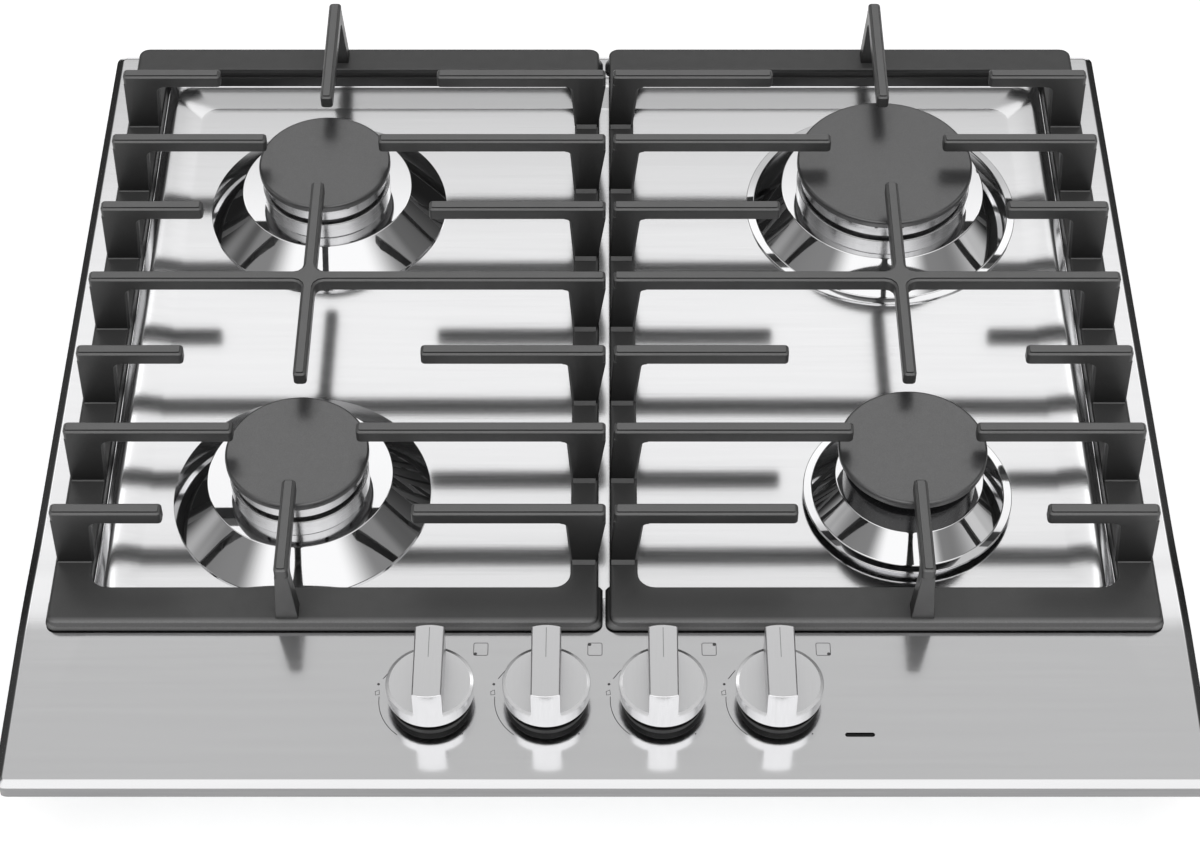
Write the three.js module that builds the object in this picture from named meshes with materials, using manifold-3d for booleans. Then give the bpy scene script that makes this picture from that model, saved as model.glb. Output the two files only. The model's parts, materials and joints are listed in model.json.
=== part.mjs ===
// Built-in gas cooktop: four burners, two cast-iron pan supports, four front controls.
// Millimetres, +X right, +Y to the back, +Z up. The origin is at the middle of the underside.
import * as THREE from 'three';
import { mergeVertices } from 'three/addons/utils/BufferGeometryUtils.js';
import Module from 'manifold-3d';

const wasm = await Module();
wasm.setup();

// ---------------------------------------------------------------- driving dimensions
const clearance = 0.3; // between turned or cut faces that meet
const burnerSegments = 20; // steps round a burner piece
const smallSegments = 8; // steps round a spindle, nozzle or boss
const knobSegments = 22; // steps round a knob or its bezel
const cornerSteps = 2; // steps round a rounded corner seen from above

// Top plate, one pressed sheet
const plateWidth = 582;
const plateDepth = 520;
const plateCorner = 6;
const sheet = 1;
const edgeRound = 3; // rounding of the plate's outer top edge
const worktopHeight = 45; // underside of the seal, where the worktop is
const panelHeight = 54.5; // top of the control panel and of the rim
const skirtLift = 1; // the down-turned edge stops this far above the worktop
const flangeWidth = 11; // return flange inside the down-turned edge
const sealHeight = 3;
const sealWidth = 8;

// Spill well pressed into the plate; the margins run from the plate's edge to the well's upper edge
const wellDepth = 8;
const wellSideMargin = 34;
const wellFrontMargin = 109;
const wellBackMargin = 19;
const wellCorner = 10;
const wellSlope = 4; // how far the wall comes in on its way down
const wellRound = 1.2; // small bend at the top and foot of the wall

// Casing under the plate; the margins run from the plate's edge to the casing's wall
const casingSideMargin = 18;
const casingFrontMargin = 20;
const casingBackMargin = 13;
const casingCorner = 6;
const casingChamfer = 1;
const casingSlope = 11.5; // the front wall's foot is this far behind its top
const casingSlopeHeight = 18; // and stands upright from here on
const casingLip = 3; // inward lip that meets the plate
const bracketWidth = 34;
const bracketReach = 15; // how far the arm goes out under the worktop
const bracketHeight = 28;
const bracketSheet = 2;
const bracketY = 60;
const bracketHole = 2.6;

// Burner centres, from the well's upper edge
const burnerSideMargin = 99.9;
const burnerFrontMargin = 75.7;
const burnerBackMargin = 103.5;

// Burner radii. The standard burner is used twice, the large and the dark one once.
const standardCap = 36.75;
const standardCrown = 34;
const standardBase = 35.7;
const standardDishTop = 47.6;
const standardDishFoot = 66.3;
const standardPorts = 14;
const largeCap = 49;
const largeCrown = 46.5;
const largeBase = 48.5;
const largeDishTop = 56.9;
const largeDishFoot = 71.7;
const largeDishLip = 4.7; // flat rim outside the dish's foot
const largePorts = 20;
const darkCap = 38;
const darkCrown = 31.5;
const darkBase = 34;
const darkDishTop = 38;
const darkDishFoot = 49.5;
const darkDishLip = 4.6;
const darkLipRise = 3.6; // this rim stands clear of the well floor
const darkExtraBase = 3.2; // and the base is this much taller
const darkPorts = 12;

// Burner heights above the well floor
const dishHeight = 16.8;
const cupFlange = 5;
const burnerGap = 2; // dark slot between base and crown
const crownHeight = 8.2;
const capHeight = 4.8;
const capRound = 1.4;
const capSpigot = 1.4; // locating rim under the cap
const dishSheet = 1;
const dishRimRise = 1.4; // the cone meets its rim this many sheets above the floor
const cupRecess = 2;
const cupWall = 5;
const cupEdge = 0.6;
const cupBottom = 16; // height of the base casting's underside
const portWidth = 1.7;
const portDepth = 2.4;
const crownRim = 4.4;

// Spark electrode
const electrodeRadius = 2;
const electrodeTip = 0.7;
const electrodeInset = 2.4; // from the flange's edge to the electrode's axis
const electrodeShoulder = 2.3;
const electrodeSides = 8;
const electrodeFoot = 12; // length below the flange

// Jet and its holder
const jetRadius = 4.5;
const jetBodyRadius = 9;
const jetBodyHeight = 10;
const jetBodyBottom = 5.5;
const jetBore = 1;
const nozzleLap = 2; // nozzle's shoulder above the base casting's floor
const nozzleTip = 3;

// Pan supports
const fingerTop = 55.4; // above the well floor
const fingerHeight = 8;
const fingerWidth = 7.6;
const spineWidth = 6.9; // fore-and-aft fingers
const fingerBevel = 1.4;
const rowsEachSide = 3; // rows of fingers before and behind the middle row
const fingerSetback = 2; // finger ends behind the rail's outer face
const railOuterWidth = 19; // from the well's edge outwards
const railInnerWidth = 13;
const railGap = 6.4; // between the two supports, at the top of their rails
const railHeight = 9;
const railFlare = 0.9;
const railChamfer = 1.2;
const crossRailFrontDepth = 22.1;
const crossRailFrontLap = 1.8; // the front cross rail reaches this far over the well
const crossRailBackDepth = 14;
const crossRailFlare = 1.9;
const railCorner = 4;
const railInnerCorner = 7;
const shortReach = 31.2; // burner centre to finger tip, on the burner rows
const longReach = 61.6; // burner centre to finger tip, on the other rows
// Burner centre to the tips of the fore-and-aft fingers, from the front of the support to the back
const spineReaches = [34, 35.4, 34.6, 32.4];
const outerLegTopLength = 19.8;
const outerLegFootLength = 19;
const innerLegTopReach = 20.5; // middle of the hob to the inner legs' burner side, at their top
const innerLegFootLength = 13;
const legFillet = 4.6;
const legThickness = 7.6;
const legRidgeTop = 1; // bevel on the leg's burner side, at its top and foot
const legRidgeFoot = 3;
const legRidgeShare = 0.8; // how much of that bevel shows across the leg
const legFootSetback = 1; // outer leg's foot behind the rail's outer face
const innerFootSetback = 0.2;
const gapLean = 3.5; // the slot between the supports leans this far to the right
const strutDepth = 8;
const strutFoot = 11.4;
const strutFootDepth = 10;
const strutFrontSetback = 3.6; // strut face behind the cross rail's outer face
const strutBackSetback = 3;
const crossFillet = 4.6;

// Controls
const knobPitch = 56.2;
const knobFrontMargin = 49; // plate's front edge to the knobs' axes
const knobRadius = 21.25;
const knobDiscBottom = 7.4; // above the panel
const knobDiscTop = 13.7;
const knobTop = 33.6;
const gripWidth = 14.1;
const knobEdge = 0.7;
const knobTravel = 3; // push before turning
const knobHollowDepth = 4;
const knobWall = 3.2;
const spindleRadius = 4;
const spindleFlat = 1; // depth of the flat on the spindle
const spindleInKnob = 18.6; // length of spindle held by the knob's disc and grip
const collarHeight = 6; // the bezel rises to this round the spindle
const bezelInset = 0.4; // the bezel's edge inside the knob's
const bezelHeight = 3.8;
const bezelBore = 6;

// Valves, gas rail and pipes inside the casing
const valveWidth = 24;
const valveReach = 13; // spindle axis to the valve's front and back faces
const valveTaper = 2;
const valveCorner = 3;
const valveBottom = 14;
const valveTop = 45;
const neckRadius = 8;
const neckTop = 50;
const plugTopRadius = 7;
const plugBottomRadius = 6;
const plugBottom = 18;
const plugTop = 43;
const plugSocketBottom = 26;
const railTube = 16;
const railTubeBore = 5.5;
const railTubeBottom = 14;
const railTubeCorner = 2;
const railTubeEnd = 18; // past the outermost spindle axis on the closed end
const railTubeCap = 2; // wall that closes that end
const railFootWidth = 14;
const railFootInset = 2; // feet narrower than the tube on each side
const pipeRadius = 4;
const pipeHeight = 37;
const pipeStraight = 12; // straight past the gas rail before the first bend
const pipeEntry = 34; // straight into the jet holder
const pipeSteps = 12;
const pipeSides = 6;
const rearPipeX = 52; // where the rear pipes pass between the front burners
const cornerInX = 47; // casing wall to the inlet and to the gland
const cornerInY = 35;
const inletRadius = 10;
const inletBore = 6;
const inletPipeRadius = 7;

// Electrical parts
const igniterWidth = 64;
const igniterDepth = 38;
const igniterHeight = 24;
const igniterX = 60;
const igniterBackMargin = 47; // casing wall to the module's middle
const igniterCorner = 3;
const igniterChamfer = 1;
const glandRadius = 9;
const glandBore = 4;
const glandStep = 2; // shoulder that rests on the casing floor
const glandHeight = 16;
const windowLength = 14.4;
const windowWidth = 2.4;
const windowOffset = 38.6; // last knob's axis to the window's middle
const windowFrontMargin = 29;
const windowFlange = 3;
const windowFlangeHeight = 2;
const windowSink = 0.4;

// ---------------------------------------------------------------- derived places
const plateRight = plateWidth / 2;
const plateBack = plateDepth / 2;
const plateFront = -plateBack;
const plateUnder = panelHeight - sheet;
const wellFloor = panelHeight - wellDepth;
const wellRight = plateRight - wellSideMargin;
const wellLeft = -wellRight;
const wellFront = plateFront + wellFrontMargin;
const wellBack = plateBack - wellBackMargin;
const casingRight = plateRight - casingSideMargin;
const casingFront = plateFront + casingFrontMargin;
const casingBack = plateBack - casingBackMargin;
const dishTop = wellFloor + dishHeight;
const burnerX = wellRight - burnerSideMargin;
const frontBurnerY = wellFront + burnerFrontMargin;
const rearBurnerY = wellBack - burnerBackMargin;
const fingerUnder = wellFloor + fingerTop - fingerHeight;
const middleRowY = (frontBurnerY + rearBurnerY) / 2;
const rowPitch = (rearBurnerY - frontBurnerY) / 4;
const railTop = panelHeight + railHeight;
const railOuter = wellRight + railOuterWidth;
const legBottom = railTop - railChamfer;
const crossRailFront = wellFront + crossRailFrontLap - crossRailFrontDepth;
const crossRailBack = wellBack + crossRailBackDepth;
const knobY = plateFront + knobFrontMargin;
const knobXs = [-1.5, -0.5, 0.5, 1.5].map((step) => step * knobPitch);
const windowX = knobXs[3] + windowOffset;
const windowY = plateFront + windowFrontMargin;
const valveBack = knobY + valveReach;
const inletX = casingRight - cornerInX;
const inletY = casingBack - cornerInY;
const glandX = -inletX;
const glandY = inletY;
const igniterY = casingBack - igniterBackMargin;

const standardBurner = {
  cap: standardCap, crown: standardCrown, base: standardBase, ports: standardPorts,
  dishInner: standardDishTop, dishOuter: standardDishFoot, lip: 0, lipRise: 0, extraBase: 0,
};
const largeBurner = {
  cap: largeCap, crown: largeCrown, base: largeBase, ports: largePorts,
  dishInner: largeDishTop, dishOuter: largeDishFoot, lip: largeDishLip, lipRise: 0, extraBase: 0,
};
const darkBurner = {
  cap: darkCap, crown: darkCrown, base: darkBase, ports: darkPorts, extraBase: darkExtraBase,
  dishInner: darkDishTop, dishOuter: darkDishFoot, lip: darkDishLip, lipRise: darkLipRise,
};

// The burners in the order of their knobs, with the point that each gas pipe bends through.
const frontBendX = (knobXs[3] + burnerX) / 2;
const frontBendY = (knobY + frontBurnerY) / 2;
const burners = [
  { name: 'front_left', x: -burnerX, y: frontBurnerY, bend: [-frontBendX, frontBendY], ...standardBurner },
  { name: 'rear_left', x: -burnerX, y: rearBurnerY, bend: [-rearPipeX, middleRowY], ...standardBurner },
  { name: 'rear_right', x: burnerX, y: rearBurnerY, bend: [rearPipeX, middleRowY], ...largeBurner },
  { name: 'front_right', x: burnerX, y: frontBurnerY, bend: [frontBendX, frontBendY], ...darkBurner },
];

// ---------------------------------------------------------------- geometry helpers

// A closed three.js geometry as a solid that can be cut and joined.
function solid(geometry) {
  const bare = geometry.index ? geometry.toNonIndexed() : geometry.clone();
  bare.deleteAttribute('normal');
  bare.deleteAttribute('uv');
  const merged = mergeVertices(bare, 1e-4);
  const mesh = new wasm.Mesh({
    numProp: 3,
    vertProperties: new Float32Array(merged.attributes.position.array),
    triVerts: new Uint32Array(merged.index.array),
  });
  return new wasm.Manifold(mesh);
}

// The surface of a solid as a three.js geometry.
function surface(body) {
  const mesh = body.getMesh();
  const geometry = new THREE.BufferGeometry();
  geometry.setAttribute('position', new THREE.BufferAttribute(new Float32Array(mesh.vertProperties), 3));
  geometry.setIndex(new THREE.BufferAttribute(new Uint32Array(mesh.triVerts), 1));
  const flat = geometry.toNonIndexed();
  flat.computeVertexNormals();
  return flat;
}

function union(bodies) {
  return bodies.reduce((whole, body) => whole.add(body));
}

// Points of a rounded rectangle at height z, anticlockwise from above.
function roundedRing(left, right, front, back, corner, z, steps = cornerSteps) {
  const ring = [];
  const corners = [
    [right - corner, back - corner, 0],
    [left + corner, back - corner, 1],
    [left + corner, front + corner, 2],
    [right - corner, front + corner, 3],
  ];
  for (const [x, y, quarter] of corners) {
    for (let step = 0; step <= steps; step += 1) {
      const angle = (quarter + step / steps) * Math.PI / 2;
      ring.push(new THREE.Vector3(x + corner * Math.cos(angle), y + corner * Math.sin(angle), z));
    }
  }
  return ring;
}

// A solid through rings of equal point count, listed from the bottom up and each convex.
function loft(rings) {
  const count = rings[0].length;
  const positions = [];
  const face = (a, b, c) => positions.push(...a.toArray(), ...b.toArray(), ...c.toArray());
  for (let level = 0; level + 1 < rings.length; level += 1) {
    const lower = rings[level];
    const upper = rings[level + 1];
    for (let point = 0; point < count; point += 1) {
      const next = (point + 1) % count;
      face(lower[point], lower[next], upper[next]);
      face(lower[point], upper[next], upper[point]);
    }
  }
  const first = rings[0];
  const last = rings[rings.length - 1];
  for (let point = 1; point + 1 < count; point += 1) {
    face(first[0], first[point + 1], first[point]);
    face(last[0], last[point], last[point + 1]);
  }
  const geometry = new THREE.BufferGeometry();
  geometry.setAttribute('position', new THREE.Float32BufferAttribute(positions, 3));
  return solid(geometry);
}

// A box from low to high corner.
function block(left, right, front, back, bottom, top) {
  const geometry = new THREE.BoxGeometry(right - left, back - front, top - bottom);
  geometry.translate((left + right) / 2, (front + back) / 2, (bottom + top) / 2);
  return solid(geometry);
}

// A solid of revolution about a vertical axis at x, y. The profile runs upwards on the outside
// and either starts and ends on the axis or closes on itself.
function turned(profile, x, y, segments = burnerSegments) {
  const points = profile.map(([radius, z]) => new THREE.Vector2(radius, z));
  const onAxis = profile[0][0] === 0;
  if (!onAxis) points.push(points[0].clone());
  const geometry = new THREE.LatheGeometry(points, segments);
  geometry.rotateX(Math.PI / 2);
  geometry.translate(x, y, 0);
  return solid(geometry);
}

function post(radius, bottom, top, x, y, segments = smallSegments) {
  return turned([[0, bottom], [radius, bottom], [radius, top], [0, top]], x, y, segments);
}

// A flat outline extruded upwards with a bevelled edge all round.
function bevelled(shape, bottom, height, bevel) {
  const geometry = new THREE.ExtrudeGeometry(shape, {
    depth: height - 2 * bevel,
    bevelEnabled: true,
    bevelThickness: bevel,
    bevelSize: bevel,
    bevelOffset: -bevel,
    bevelSegments: 1,
    curveSegments: 3,
  });
  geometry.translate(0, 0, bottom + bevel);
  return solid(geometry);
}

function rectangle(left, right, front, back) {
  return new THREE.Shape([
    new THREE.Vector2(left, front),
    new THREE.Vector2(right, front),
    new THREE.Vector2(right, back),
    new THREE.Vector2(left, back),
  ]);
}

// A round bar swept along a smooth curve through the given points.
function swept(points, radius, steps, sides) {
  const curve = new THREE.CatmullRomCurve3(points, false, 'centripetal');
  const section = new THREE.Shape();
  for (let side = 0; side < sides; side += 1) {
    const angle = (side / sides) * 2 * Math.PI;
    const place = [radius * Math.cos(angle), radius * Math.sin(angle)];
    if (side === 0) section.moveTo(...place);
    else section.lineTo(...place);
  }
  return solid(new THREE.ExtrudeGeometry(section, { steps, extrudePath: curve, bevelEnabled: false }));
}

// ---------------------------------------------------------------- materials and the scene graph
const cooktop = new THREE.Group();
cooktop.name = 'gas_cooktop';

const finishes = {
  brushedSteel: { color: 0xc6c6c8, roughness: 0.32, metalness: 1 },
  polishedSteel: { color: 0xdcdcdd, roughness: 0.08, metalness: 1 },
  satinMetal: { color: 0xc0c0c2, roughness: 0.38, metalness: 1 },
  castIron: { color: 0x26272a, roughness: 0.55, metalness: 0.2 },
  enamel: { color: 0x4a4b4e, roughness: 0.6, metalness: 0 },
  castAluminium: { color: 0xb4b5b7, roughness: 0.35, metalness: 1 },
  darkCasting: { color: 0x2a2a2c, roughness: 0.4, metalness: 0.6 },
  blackPlastic: { color: 0x141415, roughness: 0.45, metalness: 0 },
  galvanised: { color: 0x9aa0a3, roughness: 0.5, metalness: 0.9 },
  brass: { color: 0xb5964f, roughness: 0.35, metalness: 1 },
  pipeAluminium: { color: 0xa9abad, roughness: 0.4, metalness: 1 },
  foam: { color: 0x303133, roughness: 0.95, metalness: 0 },
  ceramic: { color: 0xe9e6dd, roughness: 0.5, metalness: 0 },
};

function addPiece(name, body, finish) {
  const mesh = new THREE.Mesh(surface(body), new THREE.MeshStandardMaterial(finishes[finish]));
  mesh.name = name;
  cooktop.add(mesh);
}

// ---------------------------------------------------------------- top plate
function plateRing(inset, z) {
  const corner = Math.max(plateCorner - inset, sheet / 2);
  return roundedRing(inset - plateRight, plateRight - inset, plateFront + inset, plateBack - inset, corner, z);
}

function wellRing(inset, z) {
  return roundedRing(
    wellLeft + inset, wellRight - inset, wellFront + inset, wellBack - inset, wellCorner, z,
  );
}

// The plate's outside or its inside: the same pressed form, `offset` further in.
function plateShell(offset, bottom) {
  const top = panelHeight - offset;
  const round = edgeRound - offset;
  const middle = round * Math.SQRT1_2;
  return loft([
    plateRing(offset, bottom),
    plateRing(offset, top - round),
    plateRing(offset + round - middle, top - round + middle),
    plateRing(offset + round, top),
  ]);
}

function wellForm(outward, depthBelow, top) {
  const floor = wellFloor - depthBelow;
  return loft([
    wellRing(wellSlope + wellRound - outward, floor),
    wellRing(wellSlope - outward, floor + wellRound / 2),
    wellRing(wellRound / 2 - outward, panelHeight - wellRound - depthBelow),
    wellRing(-outward, panelHeight - depthBelow / 2 - wellRound / 4),
    wellRing(-outward, top),
  ]);
}

function plateBody() {
  const skirtBottom = worktopHeight + skirtLift;
  const flangeBottom = worktopHeight + sealHeight;
  let body = plateShell(0, skirtBottom);
  body = body.subtract(loft([plateRing(sheet, skirtBottom - 1), plateRing(sheet, flangeBottom)]));
  const flangeInset = sheet + flangeWidth;
  body = body.subtract(loft([plateRing(flangeInset, flangeBottom - 1), plateRing(flangeInset, plateUnder)]));
  const cavity = plateShell(sheet, flangeBottom + sheet);
  body = body.subtract(cavity);
  body = body.add(wellForm(sheet, sheet, plateUnder + sheet / 2));
  body = body.subtract(wellForm(0, 0, panelHeight + 1));
  for (const burner of burners) {
    const radius = burner.base + (burner.dishInner - burner.base) / 2;
    body = body.subtract(post(radius, 0, dishTop, burner.x, burner.y));
  }
  for (const x of knobXs) {
    body = body.subtract(post(bezelBore, plateUnder - 1, panelHeight + 1, x, knobY));
  }
  return body.subtract(windowForm(0, plateUnder - 1, panelHeight + 1));
}

function sealBody() {
  const inset = sheet + clearance;
  const bottom = worktopHeight;
  const top = worktopHeight + sealHeight;
  const outside = loft([plateRing(inset, bottom), plateRing(inset, top)]);
  const inside = loft([plateRing(inset + sealWidth, bottom - 1), plateRing(inset + sealWidth, top + 1)]);
  return outside.subtract(inside);
}

// The indicator's slot with round ends, or its lens when `inset` leaves the clearance.
function windowForm(inset, bottom, top) {
  const halfLength = windowLength / 2 - inset;
  const halfWidth = windowWidth / 2 - inset;
  return loft([bottom, top].map((z) => roundedRing(
    windowX - halfLength, windowX + halfLength, windowY - halfWidth, windowY + halfWidth, halfWidth, z,
  )));
}

function windowBody() {
  const lens = windowForm(clearance, plateUnder - windowFlangeHeight, panelHeight - windowSink);
  const flange = windowForm(-windowFlange, plateUnder - windowFlangeHeight, plateUnder);
  return lens.add(flange);
}

// ---------------------------------------------------------------- casing and brackets
function casingRing(inset, z) {
  const corner = Math.max(casingCorner - inset, sheet);
  const front = casingFront + casingSlope * Math.max(0, 1 - z / casingSlopeHeight);
  return roundedRing(
    -casingRight + inset, casingRight - inset, front + inset, casingBack - inset, corner, z,
  );
}

function casingBody() {
  const outside = loft([
    casingRing(casingChamfer, 0),
    casingRing(0, casingChamfer),
    casingRing(0, casingSlopeHeight),
    casingRing(0, plateUnder),
  ]);
  const inside = loft([
    casingRing(sheet, sheet),
    casingRing(sheet, casingSlopeHeight),
    casingRing(sheet, plateUnder - sheet),
  ]);
  const mouth = loft([casingRing(casingLip, casingSlopeHeight), casingRing(casingLip, plateUnder + 1)]);
  const inlet = post(inletRadius + clearance, -1, 2 * sheet, inletX, inletY);
  const gland = post(glandRadius - glandStep, -1, 2 * sheet, glandX, glandY);
  return outside.subtract(inside).subtract(mouth).subtract(inlet).subtract(gland);
}

// A clamp on the side wall whose arm reaches out below the worktop. `side` is -1 or 1.
function bracketBody(side) {
  const front = bracketY - bracketWidth / 2;
  const back = bracketY + bracketWidth / 2;
  const foot = bracketSheet;
  const wallShape = new THREE.Shape([
    new THREE.Vector2(casingRight, foot),
    new THREE.Vector2(casingRight + bracketReach, foot),
    new THREE.Vector2(casingRight + bracketReach, foot + bracketSheet),
    new THREE.Vector2(casingRight + 2 * bracketSheet, foot + bracketSheet),
    new THREE.Vector2(casingRight + bracketSheet, foot + 2 * bracketSheet),
    new THREE.Vector2(casingRight + bracketSheet, foot + bracketHeight),
    new THREE.Vector2(casingRight, foot + bracketHeight),
  ]);
  const geometry = new THREE.ExtrudeGeometry(wallShape, { depth: back - front, bevelEnabled: false });
  geometry.rotateX(Math.PI / 2);
  geometry.translate(0, back, 0);
  if (side < 0) {
    geometry.rotateZ(Math.PI);
    geometry.translate(0, 2 * bracketY, 0);
  }
  const armX = side * (casingRight + (bracketReach + 2 * bracketSheet) / 2);
  return solid(geometry).subtract(post(bracketHole, 0, 3 * bracketSheet, armX, bracketY, 12));
}

// ---------------------------------------------------------------- burners

// Polished spill dish: a pressed cone with a flat top, standing on the well floor.
function dishBody(burner) {
  const { x, y, base, dishInner, dishOuter, lip, lipRise } = burner;
  const foot = wellFloor + lipRise;
  const hole = base - cupWall + clearance;
  const rim = Math.max(lip, dishSheet / 2);
  const wallUnderRim = lipRise > 0 ? [[dishOuter, wellFloor], [dishOuter, foot]] : [];
  const dish = turned([
    [hole, dishTop - dishSheet],
    [dishInner - dishSheet, dishTop - dishSheet],
    [dishOuter - dishSheet, foot + dishSheet / 2],
    [dishOuter - dishSheet, wellFloor],
    ...wallUnderRim,
    [dishOuter + rim, foot],
    [dishOuter + rim, foot + dishSheet],
    [dishOuter, foot + dishRimRise * dishSheet],
    [dishInner, dishTop],
    [hole, dishTop],
  ], x, y);
  return dish.subtract(electrodeHole(burner, dishTop - 2 * dishSheet, dishTop + 1));
}

function electrodePlace(burner) {
  return [burner.x, burner.y + burner.base - electrodeInset];
}

function electrodeHole(burner, bottom, top) {
  return post(electrodeRadius + clearance, bottom, top, ...electrodePlace(burner), electrodeSides);
}

function cupTopOf(burner) {
  return dishTop + cupFlange + burner.extraBase;
}

// Burner base: a flange on the dish over a mixing chamber that hangs down inside the casing.
function cupBody(burner) {
  const { x, y, base } = burner;
  const top = cupTopOf(burner);
  const barrel = base - cupWall;
  const recess = burner.crown - crownRim + clearance;
  const profile = [
    [jetRadius + clearance, cupBottom],
    [barrel / 2, cupBottom],
    [barrel, dishTop - 4 * cupWall],
    [barrel, dishTop],
    [base, dishTop],
    [base, top - cupEdge],
    [base - cupEdge, top],
    [recess, top],
    [recess, top - cupRecess],
    [jetRadius + clearance, cupBottom + cupWall],
  ];
  return turned(profile, x, y).subtract(electrodeHole(burner, dishTop - 1, top + 1));
}

// Flame crown: a ring with radial ports cut down from its upper rim.
function crownBody(burner) {
  const { x, y, crown, ports } = burner;
  const seat = cupTopOf(burner) - cupRecess;
  const shoulder = cupTopOf(burner) + burnerGap;
  const top = shoulder + crownHeight;
  const neck = crown - crownRim;
  const profile = [
    [neck - crownRim, seat],
    [neck, seat],
    [neck, shoulder],
    [crown, shoulder],
    [crown, top],
    [neck - crownRim, top],
  ];
  const ring = turned(profile, x, y);
  const cutters = [];
  for (let port = 0; port < ports; port += 1) {
    const slot = new THREE.BoxGeometry(5 * crownRim, portWidth, 2 * portDepth);
    slot.translate(crown, 0, top);
    slot.rotateZ(((port + 0.5) / ports) * 2 * Math.PI);
    slot.translate(x, y, 0);
    cutters.push(solid(slot));
  }
  return ring.subtract(union(cutters)).subtract(electrodeHole(burner, seat, shoulder + electrodeRadius));
}

function crownTopOf(burner) {
  return cupTopOf(burner) + burnerGap + crownHeight;
}

// Enamelled cap with a locating spigot that drops into the crown.
function capBody(burner) {
  const { x, y, cap, crown } = burner;
  const bottom = crownTopOf(burner);
  const top = bottom + capHeight;
  const spigot = crown - 2 * crownRim - clearance;
  return turned([
    [0, bottom - capSpigot],
    [spigot, bottom - capSpigot],
    [spigot, bottom],
    [cap - capRound, bottom],
    [cap, bottom + capRound],
    [cap, top - capRound],
    [cap - capRound, top],
    [0, top],
  ], x, y);
}

function electrodeBody(burner) {
  const seat = dishTop - dishSheet - clearance;
  const tip = cupTopOf(burner) + burnerGap - clearance;
  return turned([
    [0, seat - electrodeFoot],
    [electrodeShoulder, seat - electrodeFoot],
    [electrodeShoulder, seat],
    [electrodeRadius, seat],
    [electrodeRadius, tip - electrodeRadius],
    [electrodeTip, tip],
    [0, tip],
  ], ...electrodePlace(burner), electrodeSides);
}

// Jet holder under the burner base: a six-sided body with the jet's nozzle standing up in it.
function jetBody(burner) {
  const top = jetBodyBottom + jetBodyHeight;
  const holder = post(jetBodyRadius, jetBodyBottom, top, burner.x, burner.y, 6);
  const nozzle = turned([
    [0, top - jetBore],
    [jetRadius, top - jetBore],
    [jetRadius, cupBottom + cupWall + nozzleLap],
    [jetRadius / 2, cupBottom + cupWall + nozzleLap + nozzleTip],
    [0, cupBottom + cupWall + nozzleLap + nozzleTip],
  ], burner.x, burner.y, electrodeSides);
  const bore = post(jetBore, jetBodyBottom + 2 * jetBore, cupBottom + 2 * cupWall, burner.x, burner.y, 6);
  return holder.add(nozzle).subtract(bore);
}

// ---------------------------------------------------------------- pan supports

// One leg from a finger's underside to the rail. `endTop` and `endFoot` are its end away from the
// burner and `reach` points towards the burner; that side has bevelled edges that meet further down
// and flares into the finger above it.
function legBody(y, endTop, endFoot, reach, topLength, footLength) {
  const rise = fingerUnder - legBottom;
  const half = legThickness / 2;
  const levels = [
    { z: legBottom, swell: 0 },
    { z: fingerUnder - legFillet, swell: 0 },
    { z: fingerUnder - legFillet / 3, swell: legFillet / 3 },
    { z: fingerUnder + fingerBevel, swell: legFillet },
  ];
  const rings = levels.map(({ z, swell }) => {
    const share = Math.min((z - legBottom) / rise, 1);
    const outer = endFoot + (endTop - endFoot) * share;
    const length = footLength + (topLength - footLength) * share + swell;
    const bevel = legRidgeTop + (legRidgeFoot - legRidgeTop) * (1 - share);
    const inner = outer + reach * length;
    const points = [
      [outer, y - half],
      [inner - reach * bevel, y - half],
      [inner, y - half + bevel * legRidgeShare],
      [inner, y + half - bevel * legRidgeShare],
      [inner - reach * bevel, y + half],
      [outer, y + half],
    ].map(([x, across]) => new THREE.Vector3(x, across, z));
    return reach > 0 ? points : points.reverse();
  });
  return loft(rings);
}

// The strut at the front or back, from a fore-and-aft finger down to the cross rail.
function strutBody(x, face, inward) {
  const ring = (half, depth, z) => {
    const points = [
      new THREE.Vector3(x - half, face, z),
      new THREE.Vector3(x + half, face, z),
      new THREE.Vector3(x + half, face + inward * depth, z),
      new THREE.Vector3(x - half, face + inward * depth, z),
    ];
    return inward > 0 ? points : points.reverse();
  };
  return loft([
    ring(strutFoot / 2, strutFootDepth, legBottom),
    ring(spineWidth / 2, strutDepth, fingerUnder - legFillet),
    ring(spineWidth / 2, strutDepth + legFillet / 3, fingerUnder - legFillet / 3),
    ring(spineWidth / 2, strutDepth + legFillet, fingerUnder + fingerBevel),
  ]);
}

// The full crossbar with its two fore-and-aft fingers and rounded inside corners.
function crossShape(left, right, x, front, back) {
  const half = fingerWidth / 2;
  const spine = spineWidth / 2;
  const shape = new THREE.Shape();
  shape.moveTo(left, middleRowY - half);
  shape.lineTo(x - spine - crossFillet, middleRowY - half);
  shape.quadraticCurveTo(x - spine, middleRowY - half, x - spine, middleRowY - half - crossFillet);
  shape.lineTo(x - spine, front);
  shape.lineTo(x + spine, front);
  shape.lineTo(x + spine, middleRowY - half - crossFillet);
  shape.quadraticCurveTo(x + spine, middleRowY - half, x + spine + crossFillet, middleRowY - half);
  shape.lineTo(right, middleRowY - half);
  shape.lineTo(right, middleRowY + half);
  shape.lineTo(x + spine + crossFillet, middleRowY + half);
  shape.quadraticCurveTo(x + spine, middleRowY + half, x + spine, middleRowY + half + crossFillet);
  shape.lineTo(x + spine, back);
  shape.lineTo(x - spine, back);
  shape.lineTo(x - spine, middleRowY + half + crossFillet);
  shape.quadraticCurveTo(x - spine, middleRowY + half, x - spine - crossFillet, middleRowY + half);
  shape.lineTo(left, middleRowY + half);
  return shape;
}

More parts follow.
